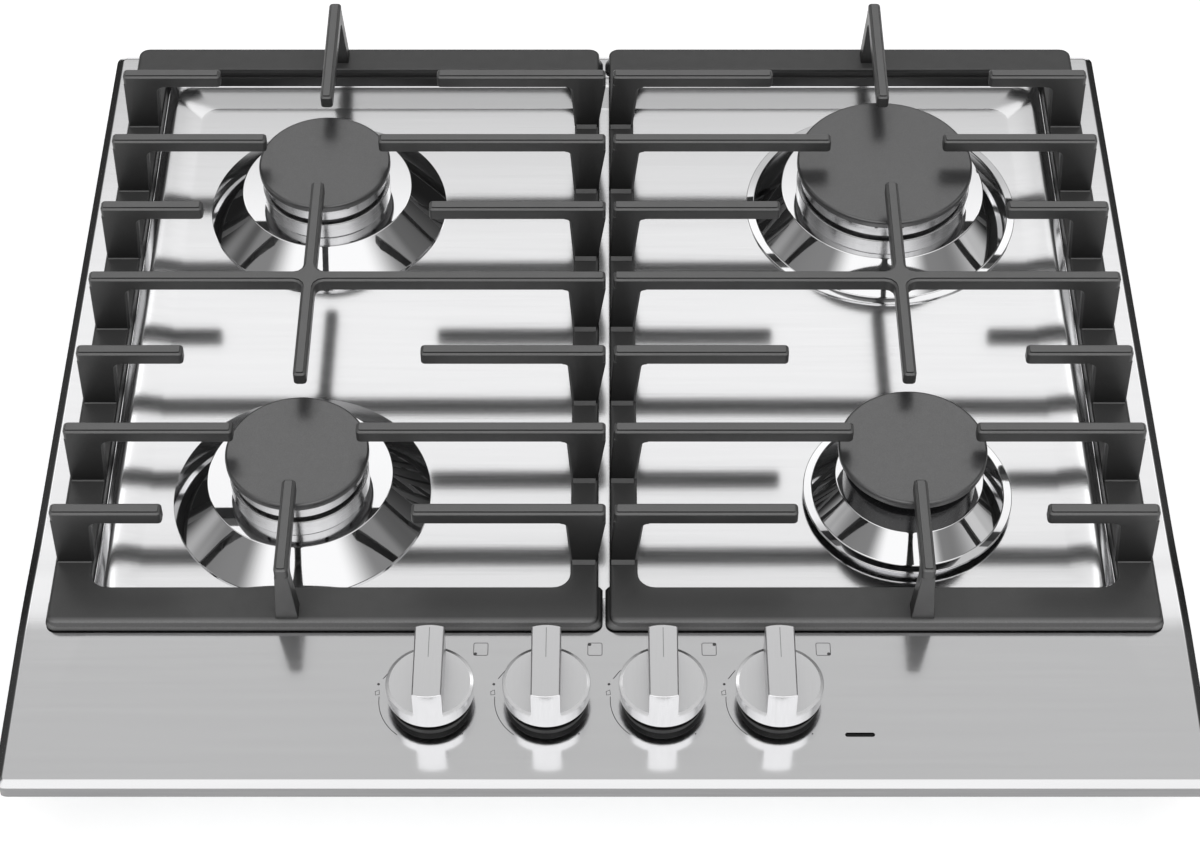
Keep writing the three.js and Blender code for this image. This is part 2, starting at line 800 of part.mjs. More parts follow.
// Rail frame on the rim, with its wider cross rails at the front and back.
function railFrame(left, right, leftWidth, rightWidth) {
  const bottom = panelHeight;
  const tier = (inset, z) => roundedRing(
    left + inset, right - inset, crossRailFront + inset, crossRailBack - inset, railCorner, z,
  );
  const outside = loft([
    tier(-railFlare, bottom),
    tier(0, bottom + 3 * railFlare),
    tier(0, railTop - railChamfer),
    tier(railChamfer, railTop),
  ]);
  const opening = (z) => roundedRing(
    left + leftWidth, right - rightWidth,
    crossRailFront + crossRailFrontDepth, crossRailBack - crossRailBackDepth, railInnerCorner, z,
  );
  const frame = outside.subtract(loft([opening(bottom - 1), opening(railTop + 1)]));
  const skirt = (front, back) => {
    const level = (inset, z) => roundedRing(left + inset, right - inset, front + inset, back - inset, railCorner, z);
    return loft([
      level(-crossRailFlare, bottom),
      level(-crossRailFlare, bottom + crossRailFlare / 2),
      level(railFlare, bottom + 2 * crossRailFlare),
    ]);
  };
  const frontEdge = crossRailFront + crossRailFrontDepth - crossRailFlare;
  const backEdge = crossRailBack - crossRailBackDepth + crossRailFlare;
  return union([frame, skirt(crossRailFront, frontEdge), skirt(backEdge, crossRailBack)]);
}

// A whole pan support. `side` is -1 for the left one and 1 for the right one.
function supportBody(side) {
  const x = side * burnerX;
  const outerRail = side * railOuter;
  const outerTop = outerRail - side * fingerSetback;
  const innerRail = side * railGap / 2;
  const innerTop = innerRail + gapLean;
  const span = (a, b) => [Math.min(a, b), Math.max(a, b)];
  const railWidths = side < 0 ? [railOuterWidth, railInnerWidth] : [railInnerWidth, railOuterWidth];
  const pieces = [railFrame(...span(outerRail, innerRail), ...railWidths)];
  const half = fingerWidth / 2;
  const spine = [x - spineWidth / 2, x + spineWidth / 2];
  const strutFront = crossRailFront + strutFrontSetback;
  const strutBack = crossRailBack - strutBackSetback;
  const tips = [
    frontBurnerY - spineReaches[0], frontBurnerY + spineReaches[1],
    rearBurnerY - spineReaches[2], rearBurnerY + spineReaches[3],
  ];
  const finger = (shape) => bevelled(shape, fingerUnder, fingerHeight, fingerBevel);

  for (let row = -rowsEachSide; row <= rowsEachSide; row += 1) {
    const y = middleRowY + row * rowPitch;
    const outerFoot = outerRail - side * legFootSetback;
    const innerFoot = innerRail + side * innerFootSetback;
    const innerLength = innerLegTopReach - side * innerTop;
    pieces.push(legBody(y, outerTop, outerFoot, -side, outerLegTopLength, outerLegFootLength));
    pieces.push(legBody(y, innerTop, innerFoot, side, innerLength, innerLegFootLength));
    if (row === 0) {
      pieces.push(finger(crossShape(...span(outerTop, innerTop), x, tips[1], tips[2])));
    } else {
      const reach = Math.abs(row) === 2 ? shortReach : longReach;
      const outer = span(outerTop, x + side * reach);
      const inner = span(innerTop, x - side * reach);
      pieces.push(finger(rectangle(...outer, y - half, y + half)));
      pieces.push(finger(rectangle(...inner, y - half, y + half)));
    }
  }

  pieces.push(finger(rectangle(...spine, strutFront, tips[0])));
  pieces.push(finger(rectangle(...spine, tips[3], strutBack)));
  pieces.push(strutBody(x, strutFront, 1));
  pieces.push(strutBody(x, strutBack, -1));
  return union(pieces);
}

// ---------------------------------------------------------------- controls

function knobBody(x) {
  const bottom = panelHeight + knobDiscBottom;
  const discTop = panelHeight + knobDiscTop;
  const top = panelHeight + knobTop;
  const disc = turned([
    [0, bottom],
    [knobRadius - knobEdge / 2, bottom],
    [knobRadius, bottom + knobEdge / 2],
    [knobRadius, discTop - knobEdge],
    [knobRadius - knobEdge, discTop],
    [0, discTop],
  ], x, knobY, knobSegments);
  const drum = turned([
    [0, bottom],
    [knobRadius, bottom + knobEdge / 2],
    [knobRadius, top - knobEdge],
    [knobRadius - knobEdge, top],
    [0, top],
  ], x, knobY, knobSegments);
  const half = gripWidth / 2;
  const slabRing = (width, z) => [[1, 1], [-1, 1], [-1, -1], [1, -1]].map(
    ([across, along]) => new THREE.Vector3(x + across * width, knobY + 2 * along * knobRadius, z),
  );
  const slab = loft([slabRing(half, bottom), slabRing(half, top - knobEdge), slabRing(half - knobEdge, top)]);
  const hollow = post(knobRadius - knobWall, bottom - 1, bottom + knobHollowDepth, x, knobY);
  const socket = spindleForm(x, spindleRadius + clearance, bottom, spindleTop() + clearance);
  return disc.add(drum.intersect(slab)).subtract(hollow).subtract(socket);
}

function spindleTop() {
  return panelHeight + knobDiscBottom + spindleInKnob;
}

// A round bar with one flat, the section of the spindle's upper end.
function spindleForm(x, radius, bottom, top) {
  const flat = knobY + radius - spindleFlat;
  const bar = post(radius, bottom, top, x, knobY);
  return bar.subtract(block(x - 2 * radius, x + 2 * radius, flat, flat + 2 * radius, bottom - 1, top + 1));
}

function spindleBody(x) {
  const bottom = plugSocketBottom + knobTravel + 2 * clearance;
  return spindleForm(x, spindleRadius, bottom, spindleTop());
}

// Black bezel between knob and panel, rising inside the knob towards the spindle.
function bezelBody(x) {
  const outer = knobRadius - bezelInset;
  return turned([
    [bezelBore, panelHeight],
    [outer, panelHeight],
    [outer, panelHeight + bezelHeight],
    [bezelBore, panelHeight + collarHeight],
  ], x, knobY, knobSegments);
}

// Tapered valve plug that the spindle turns; the spindle slides in its socket.
function plugBody(x) {
  const bar = turned([
    [0, plugBottom],
    [plugBottomRadius, plugBottom],
    [plugTopRadius, plugTop],
    [0, plugTop],
  ], x, knobY);
  return bar.subtract(spindleForm(x, spindleRadius + clearance, plugSocketBottom, plugTop + 1));
}

function valveBody(x) {
  const left = x - valveWidth / 2;
  const right = x + valveWidth / 2;
  const front = knobY - valveReach;
  const level = (inset, z) => roundedRing(
    left + inset, right - inset, front + inset, valveBack, valveCorner, z, 1,
  );
  const housing = loft([level(valveTaper, valveBottom), level(0, valveTop)]);
  const neck = post(neckRadius, valveTop - valveTaper, neckTop, x, knobY);
  const bore = turned([
    [0, plugBottom - clearance],
    [plugBottomRadius + clearance, plugBottom - clearance],
    [plugTopRadius + clearance, plugTop + clearance],
    [spindleRadius + clearance, plugTop + clearance],
    [spindleRadius + clearance, neckTop + 1],
    [0, neckTop + 1],
  ], x, knobY);
  return housing.add(neck).subtract(bore);
}

// ---------------------------------------------------------------- gas rail, pipes and inlet

// Square tube behind the valves on two feet, open at its right end.
function gasRailBody() {
  const left = knobXs[0] - railTubeEnd;
  const right = inletX - inletRadius - 2 * clearance;
  const top = railTubeBottom + railTube;
  const tube = loft([left, right].map((x) => {
    const ring = roundedRing(valveBack, valveBack + railTube, railTubeBottom, top, railTubeCorner, 0, 1);
    return ring.map((point) => new THREE.Vector3(x, point.x, point.y));
  }));
  const bore = new THREE.CylinderGeometry(railTubeBore, railTubeBore, right - left, smallSegments);
  bore.rotateZ(Math.PI / 2);
  bore.translate((left + right) / 2 + railTubeCap, valveBack + railTube / 2, railTubeBottom + railTube / 2);
  const front = valveBack + railFootInset;
  const back = valveBack + railTube - railFootInset;
  const feet = [(knobXs[1] + knobXs[2]) / 2, (knobXs[3] + inletX) / 2].map((x) => block(
    x - railFootWidth / 2, x + railFootWidth / 2, front, back, sheet, railTubeBottom + railTubeCorner,
  ));
  return union([tube, ...feet]).subtract(solid(bore));
}

// Inlet pipe with its threaded stub through the casing floor, at the back right corner.
function inletBody() {
  const railMiddle = railTubeBottom + railTube / 2;
  const startY = valveBack + railTube / 2;
  const run = swept([
    new THREE.Vector3(inletX, startY, railMiddle),
    new THREE.Vector3(inletX, inletY, railMiddle),
  ], inletPipeRadius, 1, smallSegments);
  const stub = post(inletRadius, 0, railMiddle + inletRadius, inletX, inletY);
  const collar = block(
    inletX - inletRadius, inletX + inletRadius, startY - inletRadius, startY + inletRadius,
    railMiddle - inletRadius, railMiddle + inletRadius,
  );
  return union([run, stub, collar]).subtract(post(inletBore, -1, railMiddle, inletX, inletY));
}

// Pipe from a valve over the gas rail, through its bend and down to its burner's jet holder.
function pipeBody(knobX, burner) {
  const start = valveBack + clearance;
  const jetHeight = jetBodyBottom + jetBodyHeight / 2;
  const stop = burner.y - jetBodyRadius - clearance;
  return swept([
    new THREE.Vector3(knobX, start, pipeHeight),
    new THREE.Vector3(knobX, start + railTube + pipeStraight, pipeHeight),
    new THREE.Vector3(...burner.bend, (pipeHeight + jetHeight) / 2),
    new THREE.Vector3(burner.x, stop - pipeEntry, jetHeight),
    new THREE.Vector3(burner.x, stop, jetHeight),
  ], pipeRadius, pipeSteps, pipeSides);
}

// ---------------------------------------------------------------- electrical parts
function igniterBody() {
  const level = (inset, z) => roundedRing(
    igniterX - igniterWidth / 2 + inset, igniterX + igniterWidth / 2 - inset,
    igniterY - igniterDepth / 2 + inset, igniterY + igniterDepth / 2 - inset, igniterCorner, z,
  );
  const top = sheet + igniterHeight;
  return loft([level(0, sheet), level(0, top - igniterChamfer), level(igniterChamfer, top)]);
}

function glandBody() {
  const waist = glandRadius - glandStep;
  return turned([
    [glandBore, 0],
    [waist - clearance, 0],
    [waist - clearance, sheet],
    [glandRadius, sheet],
    [glandRadius, glandHeight / 2],
    [waist, glandHeight],
    [glandBore, glandHeight],
  ], glandX, glandY, smallSegments);
}

// ---------------------------------------------------------------- assembly
addPiece('top_plate', plateBody(), 'brushedSteel');
addPiece('rim_seal', sealBody(), 'foam');
addPiece('casing', casingBody(), 'galvanised');
addPiece('bracket_left', bracketBody(-1), 'galvanised');
addPiece('bracket_right', bracketBody(1), 'galvanised');
addPiece('indicator_window', windowBody(), 'blackPlastic');

for (const burner of burners) {
  const dark = burner.extraBase > 0;
  addPiece(`burner_dish_${burner.name}`, dishBody(burner), 'polishedSteel');
  addPiece(`burner_base_${burner.name}`, cupBody(burner), dark ? 'darkCasting' : 'castAluminium');
  addPiece(`burner_crown_${burner.name}`, crownBody(burner), dark ? 'darkCasting' : 'castAluminium');
  addPiece(`burner_cap_${burner.name}`, capBody(burner), 'enamel');
  addPiece(`spark_electrode_${burner.name}`, electrodeBody(burner), 'ceramic');
  addPiece(`gas_jet_${burner.name}`, jetBody(burner), 'brass');
}

addPiece('pan_support_left', supportBody(-1), 'castIron');
addPiece('pan_support_right', supportBody(1), 'castIron');

burners.forEach((burner, index) => {
  const x = knobXs[index];
  addPiece(`knob_${burner.name}`, knobBody(x), 'satinMetal');
  addPiece(`knob_bezel_${burner.name}`, bezelBody(x), 'blackPlastic');
  addPiece(`valve_spindle_${burner.name}`, spindleBody(x), 'galvanised');
  addPiece(`valve_plug_${burner.name}`, plugBody(x), 'brass');
  addPiece(`valve_body_${burner.name}`, valveBody(x), 'castAluminium');
  addPiece(`gas_pipe_${burner.name}`, pipeBody(x, burner), 'pipeAluminium');
});

addPiece('gas_rail', gasRailBody(), 'pipeAluminium');
addPiece('gas_inlet', inletBody(), 'brass');
addPiece('ignition_module', igniterBody(), 'blackPlastic');
addPiece('cable_gland', glandBody(), 'blackPlastic');

export default cooktop;
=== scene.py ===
"""Looks of a built-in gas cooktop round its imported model. Sizes below are in millimetres and
become metres in each mesh. +X right, +Y to the back, +Z up."""
import json
import math

import bmesh
import bpy
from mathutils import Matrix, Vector


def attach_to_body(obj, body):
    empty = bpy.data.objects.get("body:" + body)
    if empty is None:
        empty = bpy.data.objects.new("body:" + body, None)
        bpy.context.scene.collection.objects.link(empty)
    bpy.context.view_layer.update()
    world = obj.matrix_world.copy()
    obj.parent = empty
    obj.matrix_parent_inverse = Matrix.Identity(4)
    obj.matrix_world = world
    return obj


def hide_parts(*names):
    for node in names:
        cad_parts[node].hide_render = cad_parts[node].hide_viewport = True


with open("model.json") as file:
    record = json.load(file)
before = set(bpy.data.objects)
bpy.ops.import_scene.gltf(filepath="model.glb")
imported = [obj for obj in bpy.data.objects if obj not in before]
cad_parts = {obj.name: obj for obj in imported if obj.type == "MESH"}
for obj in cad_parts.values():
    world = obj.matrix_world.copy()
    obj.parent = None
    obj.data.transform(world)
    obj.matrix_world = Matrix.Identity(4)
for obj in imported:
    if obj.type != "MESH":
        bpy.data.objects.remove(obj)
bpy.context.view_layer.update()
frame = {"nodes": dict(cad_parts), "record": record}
MM = 0.001

# ------------------------------------------------------------------ camera
IMAGE_WIDTH = 1200
PITCH = 49.2  # degrees below the horizontal
EYE = (0, -0.985, 1.1521)
camera_data = bpy.data.cameras.new("camera")
camera_data.lens = 82.5
camera_data.sensor_width = 36
camera_data.shift_x = -4.7 / IMAGE_WIDTH
camera_data.shift_y = 4.0 / IMAGE_WIDTH
camera_data.clip_start = 0.05
camera_data.clip_end = 50
camera = bpy.data.objects.new("camera", camera_data)
camera.location = EYE
camera.rotation_euler = (math.radians(90 - PITCH), 0, 0)
bpy.context.scene.collection.objects.link(camera)
bpy.context.scene.camera = camera
bpy.context.scene.view_settings.view_transform = "Standard"

# ------------------------------------------------------------------ sizes shared with the solids
BURNERS = ("front_left", "rear_left", "rear_right", "front_right")
PANEL = 54.5
SHEET = 1.0
WELL_FLOOR = 46.5
WELL = (-257.0, 257.0, -151.0, 241.0)
PLATE = (-291.0, 291.0, -260.0, 260.0)
BURNER_X = 157.1
FRONT_Y = -75.3
REAR_Y = 137.5
KNOB_Y = -211.0
KNOB_XS = (-84.3, -28.1, 28.1, 84.3)
DISH_TOP = WELL_FLOOR + 16.8
FINGER_TOP = WELL_FLOOR + 55.4
FINGER_UNDER = FINGER_TOP - 8.0
FINGER_HALF = 3.8
SPINE_HALF = 3.45
RAIL_TOP = PANEL + 9.0
BASE_HEIGHT = 5  # of a burner base above its dish
CROWN_SUNK = 2  # how deep a crown sits in its base
CROWN_FOOT = 4
CROWN_WALL = 8.2
BARREL_BOTTOM = 16
WINDOW_X = 122.9
WINDOW_Y = -231
PLACES = {
    "front_left": (-BURNER_X, FRONT_Y), "rear_left": (-BURNER_X, REAR_Y),
    "rear_right": (BURNER_X, REAR_Y), "front_right": (BURNER_X, FRONT_Y),
}


# ------------------------------------------------------------------ mesh helpers
def piece(name, skin, sharp=32.0):
    """A mesh object from (vertices in mm, faces), smooth up to the sharp angle."""
    verts, faces = skin
    mesh = bpy.data.meshes.new(name)
    mesh.from_pydata([(x * MM, y * MM, z * MM) for x, y, z in verts], [], faces)
    mesh.validate()
    work = bmesh.new()
    work.from_mesh(mesh)
    wide = [face for face in work.faces if len(face.verts) > 4]
    bmesh.ops.triangulate(work, faces=wide, ngon_method="EAR_CLIP")
    work.to_mesh(mesh)
    work.free()
    obj = bpy.data.objects.new(name, mesh)
    bpy.context.scene.collection.objects.link(obj)
    shade(obj, sharp)
    return obj


def shade(obj, sharp):
    mesh = obj.data
    mesh.shade_smooth()
    mesh.set_sharp_from_angle(angle=math.radians(sharp))


def settle(obj, sharp=32.0):
    """Shading normals that keep flat faces flat beside their rounded edges."""
    shade(obj, sharp)
    modifier = obj.modifiers.new("normals", "WEIGHTED_NORMAL")
    modifier.keep_sharp = True
    modifier.weight = 100
    apply(obj)
    return obj


def apply(obj):
    bpy.context.view_layer.update()
    depsgraph = bpy.context.evaluated_depsgraph_get()
    mesh = bpy.data.meshes.new_from_object(obj.evaluated_get(depsgraph), depsgraph=depsgraph)
    old = obj.data
    obj.modifiers.clear()
    obj.data = mesh
    mesh.name = obj.name
    bpy.data.meshes.remove(old)


def combine(obj, others, operation):
    """Join the other objects to obj, or cut them out of it, and remove them."""
    for other in others:
        modifier = obj.modifiers.new("boolean", "BOOLEAN")
        modifier.operation = operation
        modifier.solver = "MANIFOLD"
        modifier.object = other
    apply(obj)
    for other in others:
        bpy.data.objects.remove(other)
    return obj


def loft(rings, closed=False):
    """Faces through rings of equal point count: capped at both ends, or closed on themselves."""
    count = len(rings[0])
    verts = [point for ring in rings for point in ring]
    faces = []
    levels = len(rings) if closed else len(rings) - 1
    for level in range(levels):
        lower = level * count
        upper = (level + 1) % len(rings) * count
        for point in range(count):
            after = (point + 1) % count
            faces.append((lower + point, lower + after, upper + after, upper + point))
    if not closed:
        faces.append(tuple(reversed(range(count))))
        faces.append(tuple(range(len(verts) - count, len(verts))))
    return verts, faces


def turned(profile, x, y, steps=128):
    """A solid of revolution. The profile runs up the outside, from the axis back to the axis,
    or closes on itself when it starts away from the axis."""
    closed = profile[0][0] > 0
    points = profile if closed else [p for p in profile if p[0] > 0]
    angles = [2 * math.pi * step / steps for step in range(steps)]
    rings = [[(x + r * math.cos(a), y + r * math.sin(a), z) for a in angles] for r, z in points]
    return loft(rings, closed)


def rounded(corners, radius, steps=4):
    """A corner list in which each (x, y) convex or concave corner is an arc of that radius.
    A corner may carry its own radius as a third number."""
    out = []
    count = len(corners)
    for index, corner in enumerate(corners):
        here = Vector(corner[:2])
        r = corner[2] if len(corner) > 2 else radius
        back = (Vector(corners[index - 1][:2]) - here).normalized()
        ahead = (Vector(corners[(index + 1) % count][:2]) - here).normalized()
        if r <= 0:
            out.append(tuple(here))
            continue
        half = math.acos(max(-1, min(1, back.dot(ahead)))) / 2
        reach = r / math.tan(half)
        start, end = here + back * reach, here + ahead * reach
        centre = here + (back + ahead).normalized() * (r / math.sin(half))
        first, last = start - centre, end - centre
        turn = first.angle_signed(last)
        for step in range(steps + 1):
            angle = -turn * step / steps
            spun = Vector((first.x * math.cos(angle) - first.y * math.sin(angle),
                           first.x * math.sin(angle) + first.y * math.cos(angle)))
            out.append(tuple(centre + spun))
    return out


def inset(outline, distance):
    """An anticlockwise outline moved inwards by that distance."""
    out = []
    count = len(outline)
    for index, (x, y) in enumerate(outline):
        before, after = outline[index - 1], outline[(index + 1) % count]
        one = Vector((x - before[0], y - before[1])).normalized()
        two = Vector((after[0] - x, after[1] - y)).normalized()
        normal = Vector((-one.y, one.x)) + Vector((-two.y, two.x))
        share = distance / max(1 + one.dot(two), 0.2)
        out.append((x + normal.x * share, y + normal.y * share))
    return out


def at(outline, z):
    return [(x, y, z) for x, y in outline]


def box_outline(left, right, front, back):
    return [(left, front), (right, front), (right, back), (left, back)]


def box_round(x, y, half_x, half_y):
    return box_outline(x - half_x, x + half_x, y - half_y, y + half_y)


def slab(outline, bottom, top, low, high, steps=4):
    """An outline extruded upwards, its lower and upper edges rounded by low and high."""
    rings = []
    for radius, start, sign in ((low, bottom, 1), (high, top, -1)):
        turns = range(steps + 1) if sign > 0 else range(steps, -1, -1)
        for step in turns:
            angle = math.pi / 2 * step / steps
            away = radius * (1 - math.sin(angle))
            rise = radius * (1 - math.cos(angle))
            rings.append(at(inset(outline, away), start + sign * rise))
    return loft(rings)


# ------------------------------------------------------------------ materials
def material(name, colour, metallic, roughness, **sockets):
    made = bpy.data.materials.new(name)
    made.use_nodes = True
    shader = made.node_tree.nodes["Principled BSDF"]
    shader.inputs["Base Color"].default_value = (*colour, 1)
    shader.inputs["Metallic"].default_value = metallic
    shader.inputs["Roughness"].default_value = roughness
    for socket, value in sockets.items():
        shader.inputs[socket.replace("_", " ")].default_value = value
    return made


def add(made, kind, **values):
    node = made.node_tree.nodes.new(kind)
    for name, value in values.items():
        if name in node.inputs:
            node.inputs[name].default_value = value
        else:
            setattr(node, name, value)
    return node


def link(made, source, target):
    made.node_tree.links.new(source, target)


def grain(made, scale, stretch=(1, 1, 1), detail=3.0, rough=0.55):
    """Noise in the piece's own coordinates, scale per metre, stretched along an axis."""
    place = add(made, "ShaderNodeTexCoord")
    mapping = add(made, "ShaderNodeMapping")
    mapping.inputs["Scale"].default_value = stretch
    noise = add(made, "ShaderNodeTexNoise", Scale=scale, Detail=detail, Roughness=rough)
    link(made, place.outputs["Object"], mapping.inputs["Vector"])
    link(made, mapping.outputs["Vector"], noise.inputs["Vector"])
    return noise.outputs["Fac"]


def spread(made, factor, low, high, lowest=0.3, highest=0.7):
    """A noise value moved from its usual range to low..high."""
    node = add(made, "ShaderNodeMapRange")
    node.inputs["From Min"].default_value = lowest
    node.inputs["From Max"].default_value = highest
    node.inputs["To Min"].default_value = low
    node.inputs["To Max"].default_value = high
    link(made, factor, node.inputs["Value"])
    return node.outputs["Result"]


def tint(made, factor, dark, light, lowest=0.3, highest=0.7):
    ramp = add(made, "ShaderNodeValToRGB")
    ramp.color_ramp.elements[0].position = lowest
    ramp.color_ramp.elements[1].position = highest
    ramp.color_ramp.elements[0].color = (*dark, 1)
    ramp.color_ramp.elements[1].color = (*light, 1)
    link(made, factor, ramp.inputs["Fac"])
    return ramp.outputs["Color"]


def wire(made, colour=None, roughness=None, bumps=()):
    shader = made.node_tree.nodes["Principled BSDF"]
    if colour is not None:
        link(made, colour, shader.inputs["Base Color"])
    if roughness is not None:
        link(made, roughness, shader.inputs["Roughness"])
    normal = None
    for height, strength, depth in bumps:
        bump = add(made, "ShaderNodeBump", Strength=strength, Distance=depth)
        link(made, height, bump.inputs["Height"])
        if normal is not None:
            link(made, normal, bump.inputs["Normal"])
        normal = bump.outputs["Normal"]
    if normal is not None:
        link(made, normal, shader.inputs["Normal"])
    return made


def along_x(made):
    """Turns the stretched highlight of a brushed finish along X."""
    tangent = add(made, "ShaderNodeCombineXYZ", X=1.0)
    link(made, tangent.outputs["Vector"], made.node_tree.nodes["Principled BSDF"].inputs["Tangent"])


def maths(made, operation, first, second):
    """The result of one operation on two values."""
    node = add(made, "ShaderNodeMath", operation=operation)
    link(made, first, node.inputs[0])
    link(made, second, node.inputs[1])
    return node.outputs["Value"]


def grey(value):
    return (value, value, value * 1.01)


def brushed_steel():
    made = material("brushed_steel", grey(0.78), 1.0, 0.12, Anisotropic=0.15)
    fine = grain(made, 60, (0.25, 14, 14), 4.0)
    streak = grain(made, 22, (0.3, 8, 8), 3.0)
    along_x(made)
    return wire(made, tint(made, streak, grey(0.78), grey(0.8)), spread(made, fine, 0.12, 0.15),
                [(fine, 0.1, 0.00005)])


def polished_steel():
    made = material("polished_steel", grey(0.86), 1.0, 0.04)
    soft = grain(made, 35, detail=1.0)
    return wire(made, None, spread(made, soft, 0.03, 0.06), [(soft, 0.02, 0.0004)])


# A darker copy of the brushed steel for the plate's outer skirt: painted shade, standing in for the
# dark reflection on its faces
def shaded_edge_steel():
    made = material("shaded_edge_steel", grey(0.3), 1.0, 0.3)
    fine = grain(made, 60, (0.25, 14, 14), 3.0)
    return wire(made, tint(made, fine, grey(0.28), grey(0.32)), spread(made, fine, 0.28, 0.34))


def satin_metal():
    made = material("satin_metal", grey(0.7), 1.0, 0.3, Anisotropic=0.3)
    fine = grain(made, 900, (1, 0.08, 1), 3.0)
    along_x(made)
    return wire(made, tint(made, fine, grey(0.69), grey(0.71)), spread(made, fine, 0.28, 0.31),
                [(fine, 0.008, 0.0001)])


# A polished rim metal, lighter than the satin top: the polish is real, and its lighter base colour
# is also a painted highlight that brightens the rim and the grip's outer ends
def knob_rim():
    made = material("knob_rim", grey(0.94), 1.0, 0.14)
    fine = grain(made, 500, (1, 1, 0.1), 2.0)
    return wire(made, tint(made, fine, grey(0.92), grey(0.96)), spread(made, fine, 0.12, 0.16))


def cast_iron():
    """Dark castings with painted light and shade: painted shade darkens them towards the legs'
    feet, painted top light lightens upward faces high up such as the finger tops, and painted
    highlights lighten the front rail's front face and the faces tilted up towards the front, such
    as the legs' ledges. Places are in metres."""
    made = material("cast_iron", (0.04, 0.04, 0.042), 0.0, 0.4, Specular_IOR_Level=0.7)
    fine = grain(made, 2600, detail=2.0)
    broad = grain(made, 160, detail=3.0)
    place = add(made, "ShaderNodeTexCoord")
    split = add(made, "ShaderNodeSeparateXYZ")
    link(made, place.outputs["Object"], split.inputs["Vector"])
    facing = add(made, "ShaderNodeSeparateXYZ")
    link(made, place.outputs["Normal"], facing.inputs["Vector"])
    facing_y, facing_z = facing.outputs["Y"], facing.outputs["Z"]
    y, z = split.outputs["Y"], split.outputs["Z"]
    # painted shade: the colour darkens towards the bottom, from the finger tops down to the legs'
    # feet and the rails
    height = spread(made, z, 0.015, 0.06, 0.066, 0.1)
    # painted top light: faces that look upwards are lighter, and more so the higher they stand
    painted_top_light = maths(made, "MULTIPLY", spread(made, facing_z, 0.0, 1.0, 0.45, 0.95),
                 spread(made, z, 0.05, 0.11, 0.066, 0.1))
    # painted highlight on the front rail's front face, above its undercut
    lip = maths(made, "MULTIPLY", spread(made, y, 0.14, 0.0, -0.1690, -0.1665),
                spread(made, z, 0.0, 1.0, 0.0583, 0.0592))
    # painted highlight on faces that tilt up towards the front, such as the legs' ledges and the
    # front bevels
    ledge = maths(made, "MULTIPLY", spread(made, facing_y, 0.07, 0.0, -0.75, -0.35),
                  spread(made, facing_z, 0.0, 1.0, 0.25, 0.5))
    # the painted shade and painted light added together, then broken up by fine grain
    total = maths(made, "ADD", maths(made, "ADD", height, painted_top_light), maths(made, "ADD", lip, ledge))
    speck = maths(made, "MULTIPLY", total, spread(made, fine, 0.82, 1.2))
    colour = add(made, "ShaderNodeCombineXYZ")
    for axis in "XYZ":
        link(made, speck, colour.inputs[axis])
    return wire(made, colour.outputs["Vector"], spread(made, broad, 0.34, 0.44),
                [(broad, 0.04, 0.0006), (fine, 0.1, 0.00012)])


def cap_enamel():
    made = material("cap_enamel", (0.06, 0.06, 0.062), 0.0, 0.32, Specular_IOR_Level=0.5, IOR=2.3)
    speck = grain(made, 2200, detail=2.0, rough=0.7)
    broad = grain(made, 300, detail=3.0)
    return wire(made, tint(made, speck, (0.02, 0.02, 0.021), (0.07, 0.07, 0.072), 0.36, 0.72),
                spread(made, broad, 0.28, 0.34), [(broad, 0.03, 0.0003), (speck, 0.06, 0.0001)])


def cast_aluminium():
    made = material("cast_aluminium", grey(0.74), 1.0, 0.22)
    fine = grain(made, 900, (1, 1, 0.12), 3.0)
    broad = grain(made, 60, detail=2.0)
    return wire(made, tint(made, broad, grey(0.68), grey(0.78)), spread(made, fine, 0.17, 0.27),
                [(fine, 0.04, 0.0001)])


# A near-black colour for the burner parts whose slot names it: the front-right burner's crown and
# base ring, which look dark under their wide cap
def dark_casting():
    made = material("dark_casting", (0.03, 0.03, 0.032), 0.0, 0.22)
    fine = grain(made, 900, detail=3.0)
    return wire(made, tint(made, fine, (0.024, 0.024, 0.026), (0.04, 0.04, 0.042)),
                spread(made, fine, 0.18, 0.28), [(fine, 0.03, 0.0001)])


def black_plastic():
    made = material("black_plastic", (0.006, 0.006, 0.006), 0.0, 0.3, Specular_IOR_Level=0.2)
    fine = grain(made, 3000, detail=2.0)
    return wire(made, tint(made, fine, (0.004, 0.004, 0.004), (0.008, 0.008, 0.008)),
                spread(made, fine, 0.26, 0.34), [(fine, 0.06, 0.0001)])


def print_ink():
    made = material("print_ink", (0.1, 0.1, 0.1), 0.0, 0.5)
    fine = grain(made, 4000, detail=2.0)
    return wire(made, tint(made, fine, (0.08, 0.08, 0.082), (0.12, 0.12, 0.122)))


def engraved_line():
    made = material("engraved_line", grey(0.3), 0.6, 0.4)
    fine = grain(made, 4000, detail=2.0)
    return wire(made, tint(made, fine, grey(0.28), grey(0.32)))


def galvanised():
    made = material("galvanised", (0.42, 0.44, 0.45), 0.9, 0.42)
    spangle = add(made, "ShaderNodeTexVoronoi", Scale=110.0)
    place = add(made, "ShaderNodeTexCoord")
    link(made, place.outputs["Object"], spangle.inputs["Vector"])
    broad = grain(made, 25, detail=3.0)
    colour = tint(made, spangle.outputs["Distance"], (0.38, 0.4, 0.41), (0.5, 0.52, 0.53), 0.0, 0.6)
    return wire(made, colour, spread(made, broad, 0.34, 0.48), [(broad, 0.05, 0.001)])


def plain_metal(name, dark, light, low, high):
    made = material(name, light, 1.0, low)
    fine = grain(made, 700, detail=3.0)
    return wire(made, tint(made, fine, dark, light), spread(made, fine, low, high),
                [(fine, 0.04, 0.0001)])


